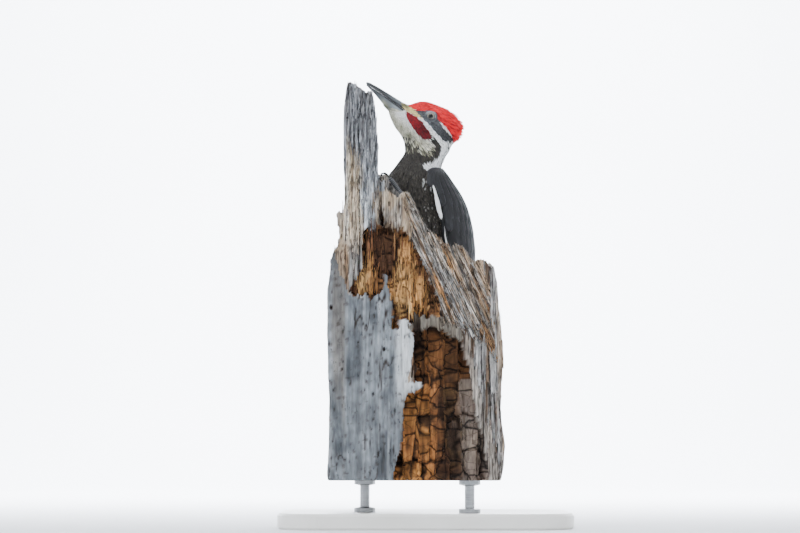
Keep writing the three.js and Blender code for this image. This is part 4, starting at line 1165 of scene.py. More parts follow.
BLACK = hex_rgb("#121316")
JET = hex_rgb("#0c0d10")
SLATE_RIM = hex_rgb("#48484c")
SLATE_DARK = hex_rgb("#1a1a1c")
BROWN_RIM = hex_rgb("#7c736c")
WING_LAYERS = [  # tip z, length, feathers across, half width, from and to across the wing, height
    (186, 108, 8, 7.2, -0.72, 0.86, 0.0), (205, 84, 4, 7.5, 0.30, 0.90, 0.5), (262, 46, 9, 6.4, -0.86, 0.86, 0.7),
    (286, 34, 9, 6.0, -0.88, 0.88, 1.0), (304, 27, 9, 5.6, -0.88, 0.88, 1.15), (318, 23, 9, 5.2, -0.90, 0.88, 1.25),
    (330, 20, 9, 5.0, -0.94, 0.88, 1.3), (340, 18, 10, 4.8, -1.02, 0.88, 1.3), (349, 16, 10, 4.6, -1.1, 0.88, 1.2),
    (357, 14, 10, 4.4, -1.14, 0.88, 1.0), (363, 12, 10, 4.2, -1.14, 0.88, 0.8)]


def wing_piece(name, side):
    turn = np.random.default_rng(60 + side)
    feathers, tones = [], []
    for layer, (tip_z, length, count, half, first, last, height) in enumerate(WING_LAYERS):
        for i in range(count):
            c = mix(first, last, (i + 0.5 * (layer % 2) * (count > 4)) / (count - 1) if i < count - 1 else 1)
            # The long feathers end in a blunt point, and each row of coverts in a shallow arc.
            drop = 5.4 * (1 - abs(c)) if layer > 1 else 26 * (1 - ((c + 0.15) / 0.95) ** 2) - 6
            z_tip = tip_z - drop + turn.normal(0, 0.8)
            z_root = min(z_tip + length, 371)
            feathers.append(laid_feather(wing_face, side, (z_root, c * 0.94), (z_tip, c), half, height - 1.4,
                                         0.06, round_tip, 0.5))
            shade = 1 + turn.normal(0, 0.09)
            edge = smoothstep(0.6, 0.95, c)
            rim = mix(SLATE_RIM, BROWN_RIM, 0.8 * edge)
            tones.append([SLATE_DARK * shade, SLATE * shade, rim, SLATE * 0.8])
    return flight_piece(name, feathers, tones, STIFF_FEATHER, "plumage_slate")


def primary_piece(name, side):
    feathers, tones = [], []
    for i in range(6):
        c = (0.62 * ((i + 0.5) / 3 - 1) - 0.16)
        tip_z = 143 + 7.5 * i ** 1.1
        depth = -float(mix(2.4, 4.2, np.clip((tip_z - 177) / 195, 0, 1))) - 1.1
        feathers.append(laid_feather(wing_face, side, (236, c), (tip_z, c * 0.72), 5.2, depth - 0.25 * i, 0.05,
                                     sharp_tip, 0.2))
        tones.append([JET, BLACK, BLACK * 1.3, JET])
    return flight_piece(name, feathers, tones, STIFF_FEATHER, "plumage_black", [f"primaries_{side_name(side)}"])


def side_name(side):
    return "left" if side < 0 else "right"


def wing_edge(side):
    """The white lining and black flight feathers that show along the folded wing's leading edge."""
    strips = [  # z of root and tip, how far in front of the edge there, half width, height, colour
        (364, 338, 0.1, 0.9, 1.0, -0.5, WHITE), (360, 331, 0.3, 2.0, 1.3, -0.3, WHITE),
        (355, 325, 0.5, 1.3, 1.7, -0.2, WHITE), (351, 320, 1.0, 3.4, 1.9, -0.1, WHITE),
        (345, 316, 1.0, 2.4, 2.2, 0.0, WHITE),
        (330, 281, -0.6, 0.6, 4.2, -1.6, JET), (318, 268, -1.2, 0.6, 3.8, -0.8, JET),
        (309, 290, 0.6, 2.2, 0.8, 0.1, WHITE), (300, 250, -1.6, -0.4, 3.4, -0.4, JET)]
    feathers, tones = [], []
    for z_root, z_tip, out_root, out_tip, half, lift, tone in strips[0 if side < 0 else 3:]:
        t = np.linspace(0, 1, FLIGHT_STATIONS)
        z = mix(z_root, z_tip, t)
        lead_x, lead_span = np.moveaxis(along_rows(WING_ROWS, z), -1, 0)[:2]
        x = lead_x - mix(out_root, out_tip, smoothstep(0, 0.6, t))
        middle = from_body(np.stack([x, side * (lead_span + 0.6 + lift), z], -1))
        forward = unit(np.gradient(middle, axis=0))
        outward = np.broadcast_to(from_body(np.array([-0.25, side * 0.97, 0.0])), middle.shape)
        across = unit(np.cross(forward, outward))
        outward = unit(np.cross(across, forward))
        outward = outward * np.sign((outward * from_body(np.array([0.0, side, 0.0]))).sum(1, keepdims=True))
        blunt = np.clip(1 - np.clip((t - 0.86) / 0.14, 0, 1) ** 2, 0.15, 1)
        shape = blunt * mix(0.12, 1, smoothstep(0.0, 0.8, t))
        feathers.append((middle, outward, across, np.stack([shape, shape], 1) * half))
        tones.append([tone, tone, tone * 0.95, tone])
    flight_piece(f"wing_edge_{side_name(side)}", feathers, tones, STIFF_FEATHER, "plumage_white", shaft=0.1)


for side_word, side_sign in SIDES.items():
    wing_piece(f"wing_feathers_{side_word}", side_sign)
    primary_piece(f"primary_feathers_{side_word}", side_sign)
    wing_edge(side_sign)

TAIL_TIPS = (58, 63, 72, 86, 104)
tail_feathers, tail_tones = [], []
for pair, tip_z in reversed(list(enumerate(TAIL_TIPS))):
    for sign in SIDES.values():
        c_tip = sign * (pair + 0.5) / 5
        tail_feathers.append(laid_feather(tail_face, 0, (222, c_tip * 0.6), (tip_z, c_tip), 6.2, 0.9 - 0.35 * pair,
                                          0.05 * sign, sharp_tip, 0.2))
        tail_tones.append([JET, BLACK, BLACK * 1.5, SLATE_RIM])
flight_piece("tail_feathers", tail_feathers, tail_tones, STIFF_FEATHER, "plumage_black", ["tail"], shaft=0.9,
             thickness=0.5)


# ------------------------------------------------------------------------------------------------ the bill
# Rows of the station a, the lower and the upper edge b, and the half width.
UPPER_ROWS = np.array([(-1.3, -1.7, 0.3, 0.7), (0, -1.8, 0.95, 1.15), (6, -1.4, 2.2, 2.0), (19, -0.9, 3.7, 3.4),
                       (32, -0.6, 4.8, 4.8), (44, -0.5, 5.9, 6.3), (54, -0.6, 6.6, 7.2)])
LOWER_ROWS = np.array([(0.2, -2.9, -2.1, 0.7), (1.4, -3.2, -2.05, 1.0), (11.7, -5.0, -1.7, 2.3),
                       (20, -6.9, -1.2, 3.4), (30, -9.3, -0.9, 4.6), (40, -10.4, -0.8, 5.6), (54, -10.6, -0.9, 6.6)])
# Outlines across the right half of a mandible, from its ridge to the mouth, as shares of half width and height.
UPPER_SECTION = [(0, 1), (0.2, 0.93), (0.5, 0.72), (0.78, 0.46), (0.93, 0.3), (0.985, 0.2), (1, 0.06), (0.93, 0.0),
                 (0.7, 0.08), (0, 0.16)]
LOWER_SECTION = [(0, 1), (0.28, 0.97), (0.6, 0.8), (0.86, 0.52), (0.98, 0.26), (1, 0.1), (0.95, 0.01), (0.88, 0.0),
                 (0.6, 0.07), (0, 0.12)]


def mandible(name, rows, section, upper):
    half_ring = np.array(section)
    ring = np.concatenate([half_ring, half_ring[-2:0:-1] * (-1, 1)])
    stations = np.concatenate([np.linspace(rows[0, 0], 4, 10)[:-1], np.linspace(4, rows[-1, 0], 44)])
    low, high, half = along_rows(rows, stations).T
    start, end = (low, high) if upper else (high, low)
    a = np.repeat(stations[:, None], len(ring), 1)
    y = half[:, None] * ring[None, :, 0]
    b = start[:, None] + (end - start)[:, None] * ring[None, :, 1]
    points = from_head(a, y, b).reshape(-1, 3)
    around = len(ring)
    k, j = np.meshgrid(np.arange(len(stations) - 1), np.arange(around), indexing="ij")
    here, beside = k * around + j, k * around + (j + 1) % around
    quads = np.stack([here, beside, beside + around, here + around], -1).reshape(-1, 4)
    fan = np.array([(0, i, i + 1) for i in range(1, around - 1)])
    last = (len(stations) - 1) * around
    faces = np.concatenate([triangles_of(quads), fan[:, ::-1], fan + last])
    if signed_volume(points, faces) < 0:
        faces = faces[:, ::-1]
    piece = new_object(name, points, faces, BILL_HORN, "bill_horn", [name.replace("horn", "bill")])
    a, b = a.ravel(), b.ravel()
    level = np.repeat(ring[None, :, 1], len(stations), 0).ravel()
    shade = waves(np.stack([a * 0.3, b * 2, y.ravel() * 2], -1), 4, 5)[:, None]
    if upper:
        tone = mix(hex_rgb("#1d1f22"), hex_rgb("#32363a"), smoothstep(14, 36, a)[:, None])
        # A paler grey band along the side of the upper mandible is a painted highlight.
        band = smoothstep(0.35, 0.5, level) * smoothstep(0.95, 0.75, level) * smoothstep(18, 34, a)
        tone = mix(tone, hex_rgb("#626a6f"), 0.7 * band[:, None])
        tone = mix(tone, hex_rgb("#101113"), smoothstep(0.3, 0.12, level)[:, None])
    else:
        tone = mix(hex_rgb("#24272a"), hex_rgb("#555b5e"), smoothstep(10, 25, a)[:, None])
        olive = smoothstep(20, 26, a) * smoothstep(38, 30, a) * smoothstep(0.35, 0.75, level)
        tone = mix(tone, hex_rgb("#77745c"), 0.8 * olive[:, None])
        tone = mix(tone, hex_rgb("#909a9d"), (smoothstep(31, 43, a) * smoothstep(0.95, 0.6, level) * 0.85)[:, None])
        tone = mix(tone, hex_rgb("#141517"), smoothstep(0.26, 0.08, level)[:, None])
    paint(piece, np.clip(tone * (1 + 0.08 * shade), 0, 1))
    return piece


def signed_volume(points, faces):
    a, b, c = (points[faces[:, i]] for i in range(3))
    return (a * np.cross(b, c)).sum() / 6


mandible("horn_upper", UPPER_ROWS, UPPER_SECTION, True)
mandible("horn_lower", LOWER_ROWS, LOWER_SECTION, False)


def tuft(name, upper, start, level, lengths, half, tones, seed):
    """Fine feathers along both sides of a mandible, rooted at start and level. Negative lengths lie forward."""
    rows, section = (UPPER_ROWS, UPPER_SECTION[:7]) if upper else (LOWER_ROWS, LOWER_SECTION[:6])
    side = np.where(np.arange(len(start)) % 2 == 0, -1.0, 1.0)[:, None]
    t = np.linspace(0, 1, 6)
    a = start[:, None] + lengths[:, None] * t
    low, high, wide = np.moveaxis(along_rows(rows, a), -1, 0)
    shares, levels = zip(*section[::-1])
    width = np.interp(level, levels, shares)[:, None]
    mouth, ridge = (low, high) if upper else (high, low)
    surface = from_head(a, side * wide * width, mix(mouth, ridge, level[:, None]))
    to_ridge = (from_head(0, 0, 1) - from_head(0, 0, 0)) * (1 if upper else -1)
    outward = np.stack([np.zeros_like(a), side * np.ones_like(a), np.zeros_like(a)], -1)
    outward = unit(outward * (1.05 - level)[:, None, None] + to_ridge * level[:, None, None])
    middle = surface + outward * np.broadcast_to(mix(0.25, 0.8, t), a.shape)[..., None]
    across = unit(np.cross(unit(np.gradient(middle, axis=1)), outward))
    widths = outline_widths(len(start), (0.6, 1.0, 0.9, 0.7, 0.45, 0.08), np.full(len(start), half), 0.2, seed)
    made = vane_arrays(middle, outward, across, widths, 0.2, 0.2, 3)
    each = len(made[0]) // len(start)
    root, tip = (np.repeat(part, each, 0) for part in tones)
    coat_piece(name, [(made, middle[:, 0], np.abs(lengths), mix(root, tip, made[2][:, 1:]))], SOFT_FEATHER,
               "plumage_white")


def bill_tufts():
    """Bristles that lie forward over the nostrils, and the chin feathers that reach forward under the bill."""
    turn = np.random.default_rng(58)
    count = 190
    start = turn.uniform(47.5, 56, count)
    root = mix(CREAM, NOSTRIL, (smoothstep(53, 48, start) * turn.uniform(0.3, 1, count))[:, None])
    tip = mix(root, hex_rgb("#4f4d3f"), 0.7 * smoothstep(54, 47, start)[:, None])
    tuft("nasal_tufts", True, start, turn.uniform(0.12, 0.9, count), -turn.uniform(3.6, 5.8, count), 0.3,
         (root, tip), 59)
    count = 900
    start = 26.5 + 24 * turn.uniform(size=count) ** 0.75
    low, high, _ = along_rows(LOWER_ROWS, start).T
    border = np.clip((high + 9.6 - 0.36 * (start - 28.6)) / (high - low), 0.05, 0.97)
    level = np.clip(mix(border, 1.0, turn.uniform(size=count)) + turn.normal(0, 0.05, count), 0.05, 1)
    tone = mix(hex_rgb("#6f7068"), THROAT, smoothstep(28, 45, start)[:, None])
    tone = mix(tone, OLIVE, (0.55 * turn.uniform(size=count) * smoothstep(0.5, 1, level))[:, None])
    tone = tone * (1 + turn.normal(0, 0.1, (count, 1)))
    tuft("chin_tufts", False, start, level, turn.uniform(2.2, 4.5, count), 0.3, (tone * 0.9, tone * 1.05), 60)


bill_tufts()


# ------------------------------------------------------------------------------------------------ the eyes
PUPIL, IRIS, RIM = 2.25, 3.8, 4.15


def eye_piece(name, side):
    """An eyeball whose pole faces out of the head, coloured in rings; its axes are returned for the lids."""
    gaze = unit(np.array([-0.06, side, 0.02]))
    up = unit(np.cross(gaze, np.cross([0, 0, 1.0], gaze)))
    beside = np.cross(up, gaze)
    ring_angles = np.concatenate([np.linspace(0, 65, 40), np.linspace(70, 180, 14)])
    profile = [(EYE_RADIUS * math.sin(math.radians(t)), EYE_RADIUS * math.cos(math.radians(t))) for t in ring_angles]
    local, quads = lathe(profile, 64)
    bulge = 0.35 * np.exp(-(np.hypot(local[:, 0], local[:, 1]) / 3.4) ** 4) * (local[:, 2] > 0)
    local[:, 2] += bulge
    place = EYE_AT[name.split("_")[-1]] + local[:, :1] * beside + local[:, 1:2] * up + local[:, 2:] * gaze
    faces = triangles_of(quads)
    if signed_volume(place, faces) < 0:
        faces = faces[:, ::-1]
    piece = new_object(name, place, faces, EYE, "eye", [name.replace("ball", "eye")])
    r = np.hypot(local[:, 0], local[:, 1])
    turn = np.arctan2(local[:, 1], local[:, 0])
    rays = 0.5 + 0.5 * waves(np.stack([np.cos(turn) * 6, np.sin(turn) * 6, r * 0.4], -1), 2.0, 8)
    light = np.clip(smoothstep(PUPIL, PUPIL + 0.7, r) * 0.7 + rays * 0.3, 0, 1)[:, None]
    iris = mix(hex_rgb("#403f3c"), hex_rgb("#8b887c"), light)
    tone = np.where((r < PUPIL)[:, None], hex_rgb("#050505"), iris)
    tone = mix(tone, hex_rgb("#131313"), smoothstep(IRIS, RIM, r)[:, None])
    tone = np.where((local[:, 2] < 0)[:, None], hex_rgb("#131313"), tone)
    paint(piece, np.clip(tone, 0, 1))
    return gaze, up, beside


LID_PROFILE = [(LID_INNER - 0.2, -0.55), (LID_INNER, 0.0), (4.6, 0.3), (4.95, 0.26), (5.3, -0.02), (5.7, 0.12),
               (6.2, 0.05), (LID_OUTER + 0.5, -0.5), (LID_OUTER + 1.0, -1.5)]


def lid_piece(name, side, gaze, up, beside):
    """The bare skin round the eye: a raised pale rim on the eyeball, a groove, and a wrinkled ring to the feathers."""
    centre = EYE_AT[name.split("_")[-1]]
    around = 72
    points = []
    for row, (radius, height) in enumerate(LID_PROFILE):
        for turn in np.linspace(0, 2 * math.pi, around, endpoint=False):
            # The opening is a little longer than high.
            flat = radius * np.array([math.cos(turn) * 1.03, math.sin(turn) * (0.97 if radius < 6 else 1)])
            spot = centre + flat[0] * beside + flat[1] * up
            if row < 5:
                over = math.sqrt(max((EYE_RADIUS + 0.1) ** 2 - min(radius, 4.8) ** 2, 0)) + height
            else:
                hit = skin_tree.ray_cast(Vector((spot + gaze * 14).tolist()), Vector((-gaze).tolist()))
                over = float(((np.array(hit[0]) - spot) * gaze).sum()) + 0.55 + height
            points.append(spot + gaze * over)
    points = np.array(points)
    rows = len(LID_PROFILE)
    points = relaxed_rows(points.reshape(rows, around, 3)).reshape(-1, 3)
    k, j = np.meshgrid(np.arange(rows - 1), np.arange(around), indexing="ij")
    here, beside_index = k * around + j, k * around + (j + 1) % around
    outer = np.stack([here, here + around, beside_index + around, beside_index], -1).reshape(-1, 4)
    # A second layer half a millimetre inside closes the ring.
    back = points - gaze * 0.8
    count = len(points)
    walls = []
    for row, flip in ((0, False), (rows - 1, True)):
        for i in range(around):
            one, two = row * around + i, row * around + (i + 1) % around
            walls.append((one, two, two + count, one + count) if not flip else (two, one, one + count, two + count))
    quads = np.concatenate([outer, outer[:, ::-1] + count, np.array(walls)])
    both = np.concatenate([points, back])
    faces = triangles_of(quads)
    if signed_volume(both, faces) < 0:
        faces = faces[:, ::-1]
    piece = new_object(name, both, faces, FOOT_SKIN, "plumage_slate")
    radius = np.repeat([r for r, _ in LID_PROFILE], around)
    tone = mix(hex_rgb("#8e9498"), hex_rgb("#2b2d30"), smoothstep(4.95, 5.3, radius)[:, None])
    # The bare ring is painted lighter on its upper side and darker below: painted light from above.
    lit_from_above = np.tile(np.sin(np.linspace(0, 2 * math.pi, around, endpoint=False)), rows)
    bare = mix(hex_rgb("#4f5357"), hex_rgb("#8f9599"), smoothstep(0.2, 0.8, lit_from_above)[:, None])
    tone = mix(tone, bare, (smoothstep(5.3, 5.7, radius) * smoothstep(6.9, 6.3, radius))[:, None])
    tone = mix(tone, hex_rgb("#232426"), smoothstep(LID_INNER + 0.05, LID_INNER - 0.2, radius)[:, None])
    paint(piece, np.concatenate([tone, tone]))


def relaxed_rows(grid):
    """Evens the outer rows round the ring, which follow the skin."""
    for row in range(5, len(grid)):
        for _ in range(6):
            grid[row] = (grid[row] + (np.roll(grid[row], 1, 0) + np.roll(grid[row], -1, 0)) / 2) / 2
    return grid


for side_word, side_sign in SIDES.items():
    lid_piece(f"lids_{side_word}", side_sign, *eye_piece(f"ball_{side_word}", side_sign))


# ------------------------------------------------------------------------------------------------ the feet
BALL_AT = {"left": np.array([-20.0, -49.0, 333.0]), "right": np.array([-49.5, 3.2, 316.0])}


def foot_piece(name, side_word):
    nodes = [f"shank_{side_word}"] + [f"toe_{side_word}_{toe}" for toe in TOES]
    # The ball of the foot joins the toes to the shank.
    reach = np.where(np.eye(3) > 0, 2.9, 1.9)
    pads = [(BALL_AT[side_word] - size, BALL_AT[side_word] + size) for size in reach]
    points, quads = remeshed(nodes, 0.5, 0.75, pads)
    print(name, len(points), points.min(0).round(), points.max(0).round())
    points = smoothed(points, quads, 4)
    normal = normals_of(points, quads)
    # Scutes lie across the upper side of the toes and down the front of the shank.
    from_ball = np.linalg.norm(points - BALL_AT[side_word], axis=1)
    scutes = np.maximum(np.sin(from_ball * 2 * math.pi / 1.7 + waves(points, 5, 71) * 0.6), -0.35)
    points = points + normal * (0.13 * scutes[:, None] + 0.06 * waves(points, 1.6, 72)[:, None])
    piece = new_object(name, points, quads, FOOT_SKIN, "foot_skin", nodes)
    tone = mix(hex_rgb("#36373a"), hex_rgb("#75777b"), smoothstep(-0.3, 0.95, scutes)[:, None])
    tone = tone * (1 + 0.16 * waves(points, 4, 73)[:, None])
    paint(piece, np.clip(tone, 0, 1))


def claw_piece(name, side_word):
    for toe in TOES:
        node = f"claw_{side_word}_{toe}"
        points, quads = remeshed([node], 0.32, 0.12)
        points = smoothed(points, quads, 4)
        piece = new_object(f"{name}_{toe}", points, quads, CLAW_HORN, "claw_horn", [node])
        paint(piece, np.clip(hex_rgb("#1d1d1f") * (1 + 0.25 * waves(points, 3, 75)[:, None]), 0, 1))


for side_word in SIDES:
    foot_piece(f"foot_{side_word}", side_word)
    claw_piece(f"talon_{side_word}", side_word)


# ------------------------------------------------------------------------------------------------ the wood
GREY = hex_rgb("#8f8c88")
SILVER = hex_rgb("#b4b3b1")
ASH = hex_rgb("#c4cad0")
TAN = hex_rgb("#bda184")
BROWN = hex_rgb("#6e5540")
ROT = [hex_rgb(code) for code in ("#54392a", "#86583a", "#9f7046", "#c39259", "#7d5a41")]
CRACK_SHADE = hex_rgb("#221812")
DIAGONAL = math.radians(24)  # how far the torn fibres on the right lean
# Zones of the front, as outlines in x and z.
SLAB = [(-110, 262), (-93, 281), (-87, 258), (-77, 236), (-66, 231), (-60, 238), (-55, 230), (-46, 236), (-40, 256),
        (-34, 226), (-33, 199), (-27, 203), (-22, 213), (-15, 204), (-11, 186), (-16, 160), (-18, 146), (-5, 149),
        (-4, 143), (-20, 132), (-24, 99), (-28, 70), (-34, 40), (-110, 40)]
HOLLOW = [(-78, 238), (-64, 262), (-62, 300), (-54, 312), (-47, 306), (-44, 318), (-36, 300), (-24, 304), (-14, 286),
          (2, 262), (12, 232), (18, 205), (-12, 206), (-34, 196), (-44, 226)]
CORE = [(-16, 196), (-6, 204), (10, 207), (22, 200), (38, 190), (44, 160), (54, 110), (66, 40), (-36, 40), (-24, 120),
        (-8, 160)]
CORE_TOP = [(-16, 202), (42, 202), (46, 160), (44, 152), (20, 142), (-12, 146)]
CAP = [(-18, 203), (-10, 216), (4, 213), (14, 216), (40, 198), (36, 188), (20, 198), (4, 203), (-10, 196)]
STRIP = [(36, 200), (42, 198), (52, 150), (62, 110), (74, 60), (76, 40), (64, 40), (56, 96), (46, 138)]
OCHRE = [[(-40, 240), (-30, 262), (-26, 284), (-14, 282), (-12, 262), (2, 246), (8, 222), (-6, 216), (-22, 218), (-34, 228)],
         [(-68, 262), (-56, 268), (-50, 258), (-50, 240), (-62, 238), (-70, 246)]]
RECESS = [(-50, 306), (-42, 312), (-38, 296), (-28, 280), (-28, 258), (-40, 250), (-50, 256), (-56, 280)]
PALE = [[(-62, 353), (-42, 356), (-41, 341), (-58, 339)], [(-67, 340), (-54, 340), (-50, 304), (-55, 296), (-63, 304)]]
RIDGE = [(-21, 342), (-12, 332), (4, 300), (22, 268), (38, 236), (52, 206), (44, 200), (26, 234), (6, 268), (-8, 300)]
TORN = [(-24, 350), (62, 350), (56, 276), (62, 230), (72, 170), (62, 180), (48, 200), (16, 206), (4, 244), (-12, 286)]
TOP_LINE = [(-49, 354), (-42.4, 347), (-33, 337), (-24.5, 334.5), (-18, 340), (-10, 325.5), (2, 302), (19, 287),
            (30, 287), (42, 277), (47, 268), (56, 272), (69, 255), (78, 205)]
SPIKE_TOP = [(-90, 420), (-82.1, 429), (-80.5, 445), (-78.7, 452.5), (-76.7, 450.6), (-72.6, 449.6), (-71.4, 454.5),
             (-69.8, 454.5), (-69, 447), (-65.9, 444.4), (-62, 443), (-60.3, 437.5), (-58.8, 442.6), (-54, 441.8),
             (-52, 435.6), (-50, 422)]
SPIKE_EDGE = [(380, -48.2), (400, -49.8), (414, -51), (428, -53.4), (444, -54.6)]


def within(outline, x, z, soft, seed):
    """1 inside an outline and 0 outside, with a torn border that runs further along the grain than across it."""
    shift = waves(np.stack([x, z * 0.3], -1), 9, seed) * soft
    drop = waves(np.stack([x * 1.4, z * 0.12], -1), 12, seed + 1) * soft * 2.5
    return inside(outline, x + shift, z + drop).astype(float)


def cells(x, z, wide, high, seed):
    """Irregular cells: each cell's own random number, and how near a place is to the crack round it."""
    u, v = x / wide, z / high
    ku, kv = np.floor(u), np.floor(v)
    best = np.full(len(u), 9.0)
    second = np.full(len(u), 9.0)
    own = np.zeros(len(u))
    for du in (-1, 0, 1):
        for dv in (-1, 0, 1):
            cu, cv = ku + du, kv + dv
            pick = [np.abs(np.sin(cu * 127.1 + cv * 311.7 + seed * k) * 43758.5453) % 1 for k in (1.0, 2.3, 3.9)]
            # Cells part more squarely than round ones would, as rot splits along and across the grain.
            away = np.maximum(np.abs(u - cu - 0.2 - 0.6 * pick[0]), np.abs(v - cv - 0.2 - 0.6 * pick[1]))
            nearer = away < best
            second = np.where(nearer, best, np.minimum(second, away))
            own = np.where(nearer, pick[2], own)
            best = np.where(nearer, away, best)
    return own, smoothstep(0.12, 0.0, second - best)


def rot_blocks(x, z):
    """Brown rot breaks the wood into small blocks within large ones, along bent cracks."""
    place = np.stack([x, z], -1)
    bent_x, bent_z = x + 3.2 * waves(place, 34, 141, 2), z + 5 * waves(place, 30, 142, 2)
    return cells(bent_x, bent_z, 12, 18, 1.7), cells(bent_x, bent_z, 27, 38, 5.3)


def grain_of(points, torn):
    """Places measured across the grain, into the wood and along the grain."""
    c, s = math.cos(DIAGONAL), math.sin(DIAGONAL)
    x, y, z = points.T
    leaning = np.stack([x * c + z * s, y, z * c - x * s], -1)
    return np.where(torn[:, None] > 0.5, leaning, points)


def wood_zones(points, front):
    x, z = points[:, 0], points[:, 2]
    zones = {"slab": within(SLAB, x, z, 1.2, 83), "hollow": within(HOLLOW, x, z, 2, 85),
             "core": within(CORE, x, z, 1.0, 87), "dark": within(CORE_TOP, x, z, 2, 89),
             "cap": within(CAP, x, z, 1.5, 91), "strip": within(STRIP, x, z, 0.6, 93),
             "ridge": within(RIDGE, x, z, 1.5, 95), "torn": within(TORN, x, z, 1.5, 97),
             "pale": np.maximum(within(PALE[0], x, z, 0.8, 99), within(PALE[1], x, z, 0.8, 101))}
    zones = {name: share * front for name, share in zones.items()}
    for name, hidden_by in (("hollow", ("slab", "cap")), ("core", ("slab", "cap", "strip")), ("dark", ("slab", "cap"))):
        for other in hidden_by:
            zones[name] = zones[name] * (1 - zones[other])
    return zones


def wood_colour(points, zones, front, top):
    """The wood's colour: silver outside, pale on the slab, warm in the tears, orange to brown in the rot."""
    x, y, z = points.T
    grain = grain_of(points, zones["torn"])
    streaks = [0.5 + 0.5 * waves(grain * (1, 1, stretch), size, seed)
               for size, stretch, seed in ((16, 0.06, 111), (30, 0.05, 112), (9, 0.05, 113), (22, 0.3, 114))]
    tone = mix(GREY, SILVER, streaks[0][:, None])
    tone = mix(tone, TAN, (0.8 * smoothstep(0.5, 0.75, streaks[1]) * mix(0.25, 1, front))[:, None])
    tone = mix(tone, BROWN, (0.75 * smoothstep(0.55, 0.8, streaks[2]) * mix(0.3, 1, front))[:, None])
    tone = mix(tone, hex_rgb("#c08a56"), (0.7 * zones["torn"] * smoothstep(0.55, 0.85, streaks[3]))[:, None])
    high_left = smoothstep(330, 350, z) * smoothstep(-40, -48, x)
    tone = mix(tone, mix(hex_rgb("#7b7d82"), hex_rgb("#b9bdc3"), streaks[0][:, None]), (0.85 * high_left)[:, None])
    cream = smoothstep(4, -4, x + 4 * streaks[3] - mix(-62, -78, smoothstep(345, 399, z)))
    cream = cream * smoothstep(402, 388, z) * smoothstep(270, 300, z) * front
    tone = mix(tone, mix(hex_rgb("#b9a081"), hex_rgb("#f3eadb"), streaks[2][:, None]), (0.92 * cream)[:, None])
    # Below the foot the wall is broken open and tan to brown.
    wall = smoothstep(-62, -54, x) * smoothstep(-6, -16, x) * smoothstep(350, 336, z) * smoothstep(250, 270, z) * front
    wall = wall * mix(0.35, 0.85, smoothstep(0.35, 0.65, 0.5 + 0.5 * waves(points * (1.4, 1, 0.6), 20, 128)))
    tone = mix(tone, mix(hex_rgb("#9b8064"), hex_rgb("#e9dac2"), streaks[2][:, None]), wall[:, None])
    (pick, _), (coarse, _) = rot_blocks(x, z)
    patch = np.clip(2.5 + 2.6 * waves(points * (1, 1, 0.6), 30, 125), 0, 4.99).astype(int)
    rot = mix(np.array(ROT)[patch], np.array(ROT)[np.clip((coarse * 5).astype(int), 0, 4)], 0.4)
    rot = rot * mix(0.75, 1.15, streaks[2])[:, None]
    ochre = np.maximum(within(OCHRE[0], x, z, 2, 143), within(OCHRE[1], x, z, 2, 145))
    rot = mix(rot, mix(hex_rgb("#b97f45"), hex_rgb("#e0b070"), pick[:, None]), (0.85 * ochre)[:, None])
    warm = smoothstep(20, 2, x + 7 * waves(points * (1, 1, 0.5), 22, 127)) * (z < 196)
    rot = rot * mix(0.5, 1, np.maximum(warm, z > 196))[:, None]
    rot = mix(rot, hex_rgb("#b5753a"), (0.5 * warm * zones["core"])[:, None])
    greyed = smoothstep(24, 40, x + 6 * waves(points * (1, 1, 0.3), 18, 126)) * (z < 150)
    rot = mix(rot, hex_rgb("#77706a"), (0.7 * greyed)[:, None])
    # The recess in the hollow is sunk into the wood and painted dark brown: painted shade.
    recess_shade = within(RECESS, x, z, 2, 147)
    rot = mix(rot, hex_rgb("#3c2519"), (0.75 * recess_shade)[:, None])
    tone = mix(tone, rot, np.maximum(zones["hollow"] * 0.92, zones["core"])[:, None])
    tone = mix(tone, hex_rgb("#54361f"), (0.7 * zones["dark"])[:, None])
    stain = smoothstep(0.45, 0.8, 0.5 + 0.5 * waves(points * (1, 1, 0.4), 34, 116, 4))
    cloud = 0.5 + 0.5 * waves(points * (1, 1, 0.55), 13, 123, 4)
    slab = mix(hex_rgb("#99a1a8"), hex_rgb("#5f656b"), (0.8 * stain)[:, None])
    slab = mix(slab, hex_rgb("#8a8177"), (0.55 * smoothstep(0.5, 0.85, streaks[1]))[:, None])
    slab = mix(slab, hex_rgb("#b3bbc2"), (0.75 * smoothstep(0.55, 0.85, streaks[2]))[:, None])
    slab = slab * mix(0.88, 1.06, smoothstep(0.2, 0.8, cloud))[:, None]
    slab = slab * mix(0.9, 1.06, smoothstep(0.3, 0.7, 0.5 + 0.5 * waves(points * (1, 1, 0.1), 9, 124, 4)))[:, None]
    # The standing points of the slab are darkest where water ran, and its right edge is freshest.
    slab = mix(slab, hex_rgb("#565a5e"), (0.6 * smoothstep(225, 262, z) * smoothstep(0.3, 0.6, cloud))[:, None])
    slab = mix(slab, hex_rgb("#d5dbdf"), (0.8 * smoothstep(-36, -26, x) * smoothstep(90, 150, z))[:, None])
    slab = slab * mix(0.78, 1, smoothstep(-34, -26, x) * smoothstep(120, 150, z))[:, None]
    tone = mix(tone, slab, (zones["slab"] * 0.95)[:, None])
    tone = mix(tone, ASH, (zones["pale"] * 0.85)[:, None])
    tone = mix(tone, mix(hex_rgb("#a5a19b"), hex_rgb("#dcd9d4"), streaks[2][:, None]), (zones["ridge"] * 0.8)[:, None])
    tone = mix(tone, hex_rgb("#6f695f"), (zones["cap"] * 0.9)[:, None])
    tone = mix(tone, hex_rgb("#a39a90"), (zones["strip"] * 0.85)[:, None])
    tone = mix(tone, hex_rgb("#a99a86"), (0.5 * top)[:, None])
    return tone


HOLES = [(-95, 222, 2.0), (-42, 180, 1.8), (-68, 187, 1.2), (-53, 135, 1.6), (-84, 160, 1.0), (-60, 204, 1.0)]


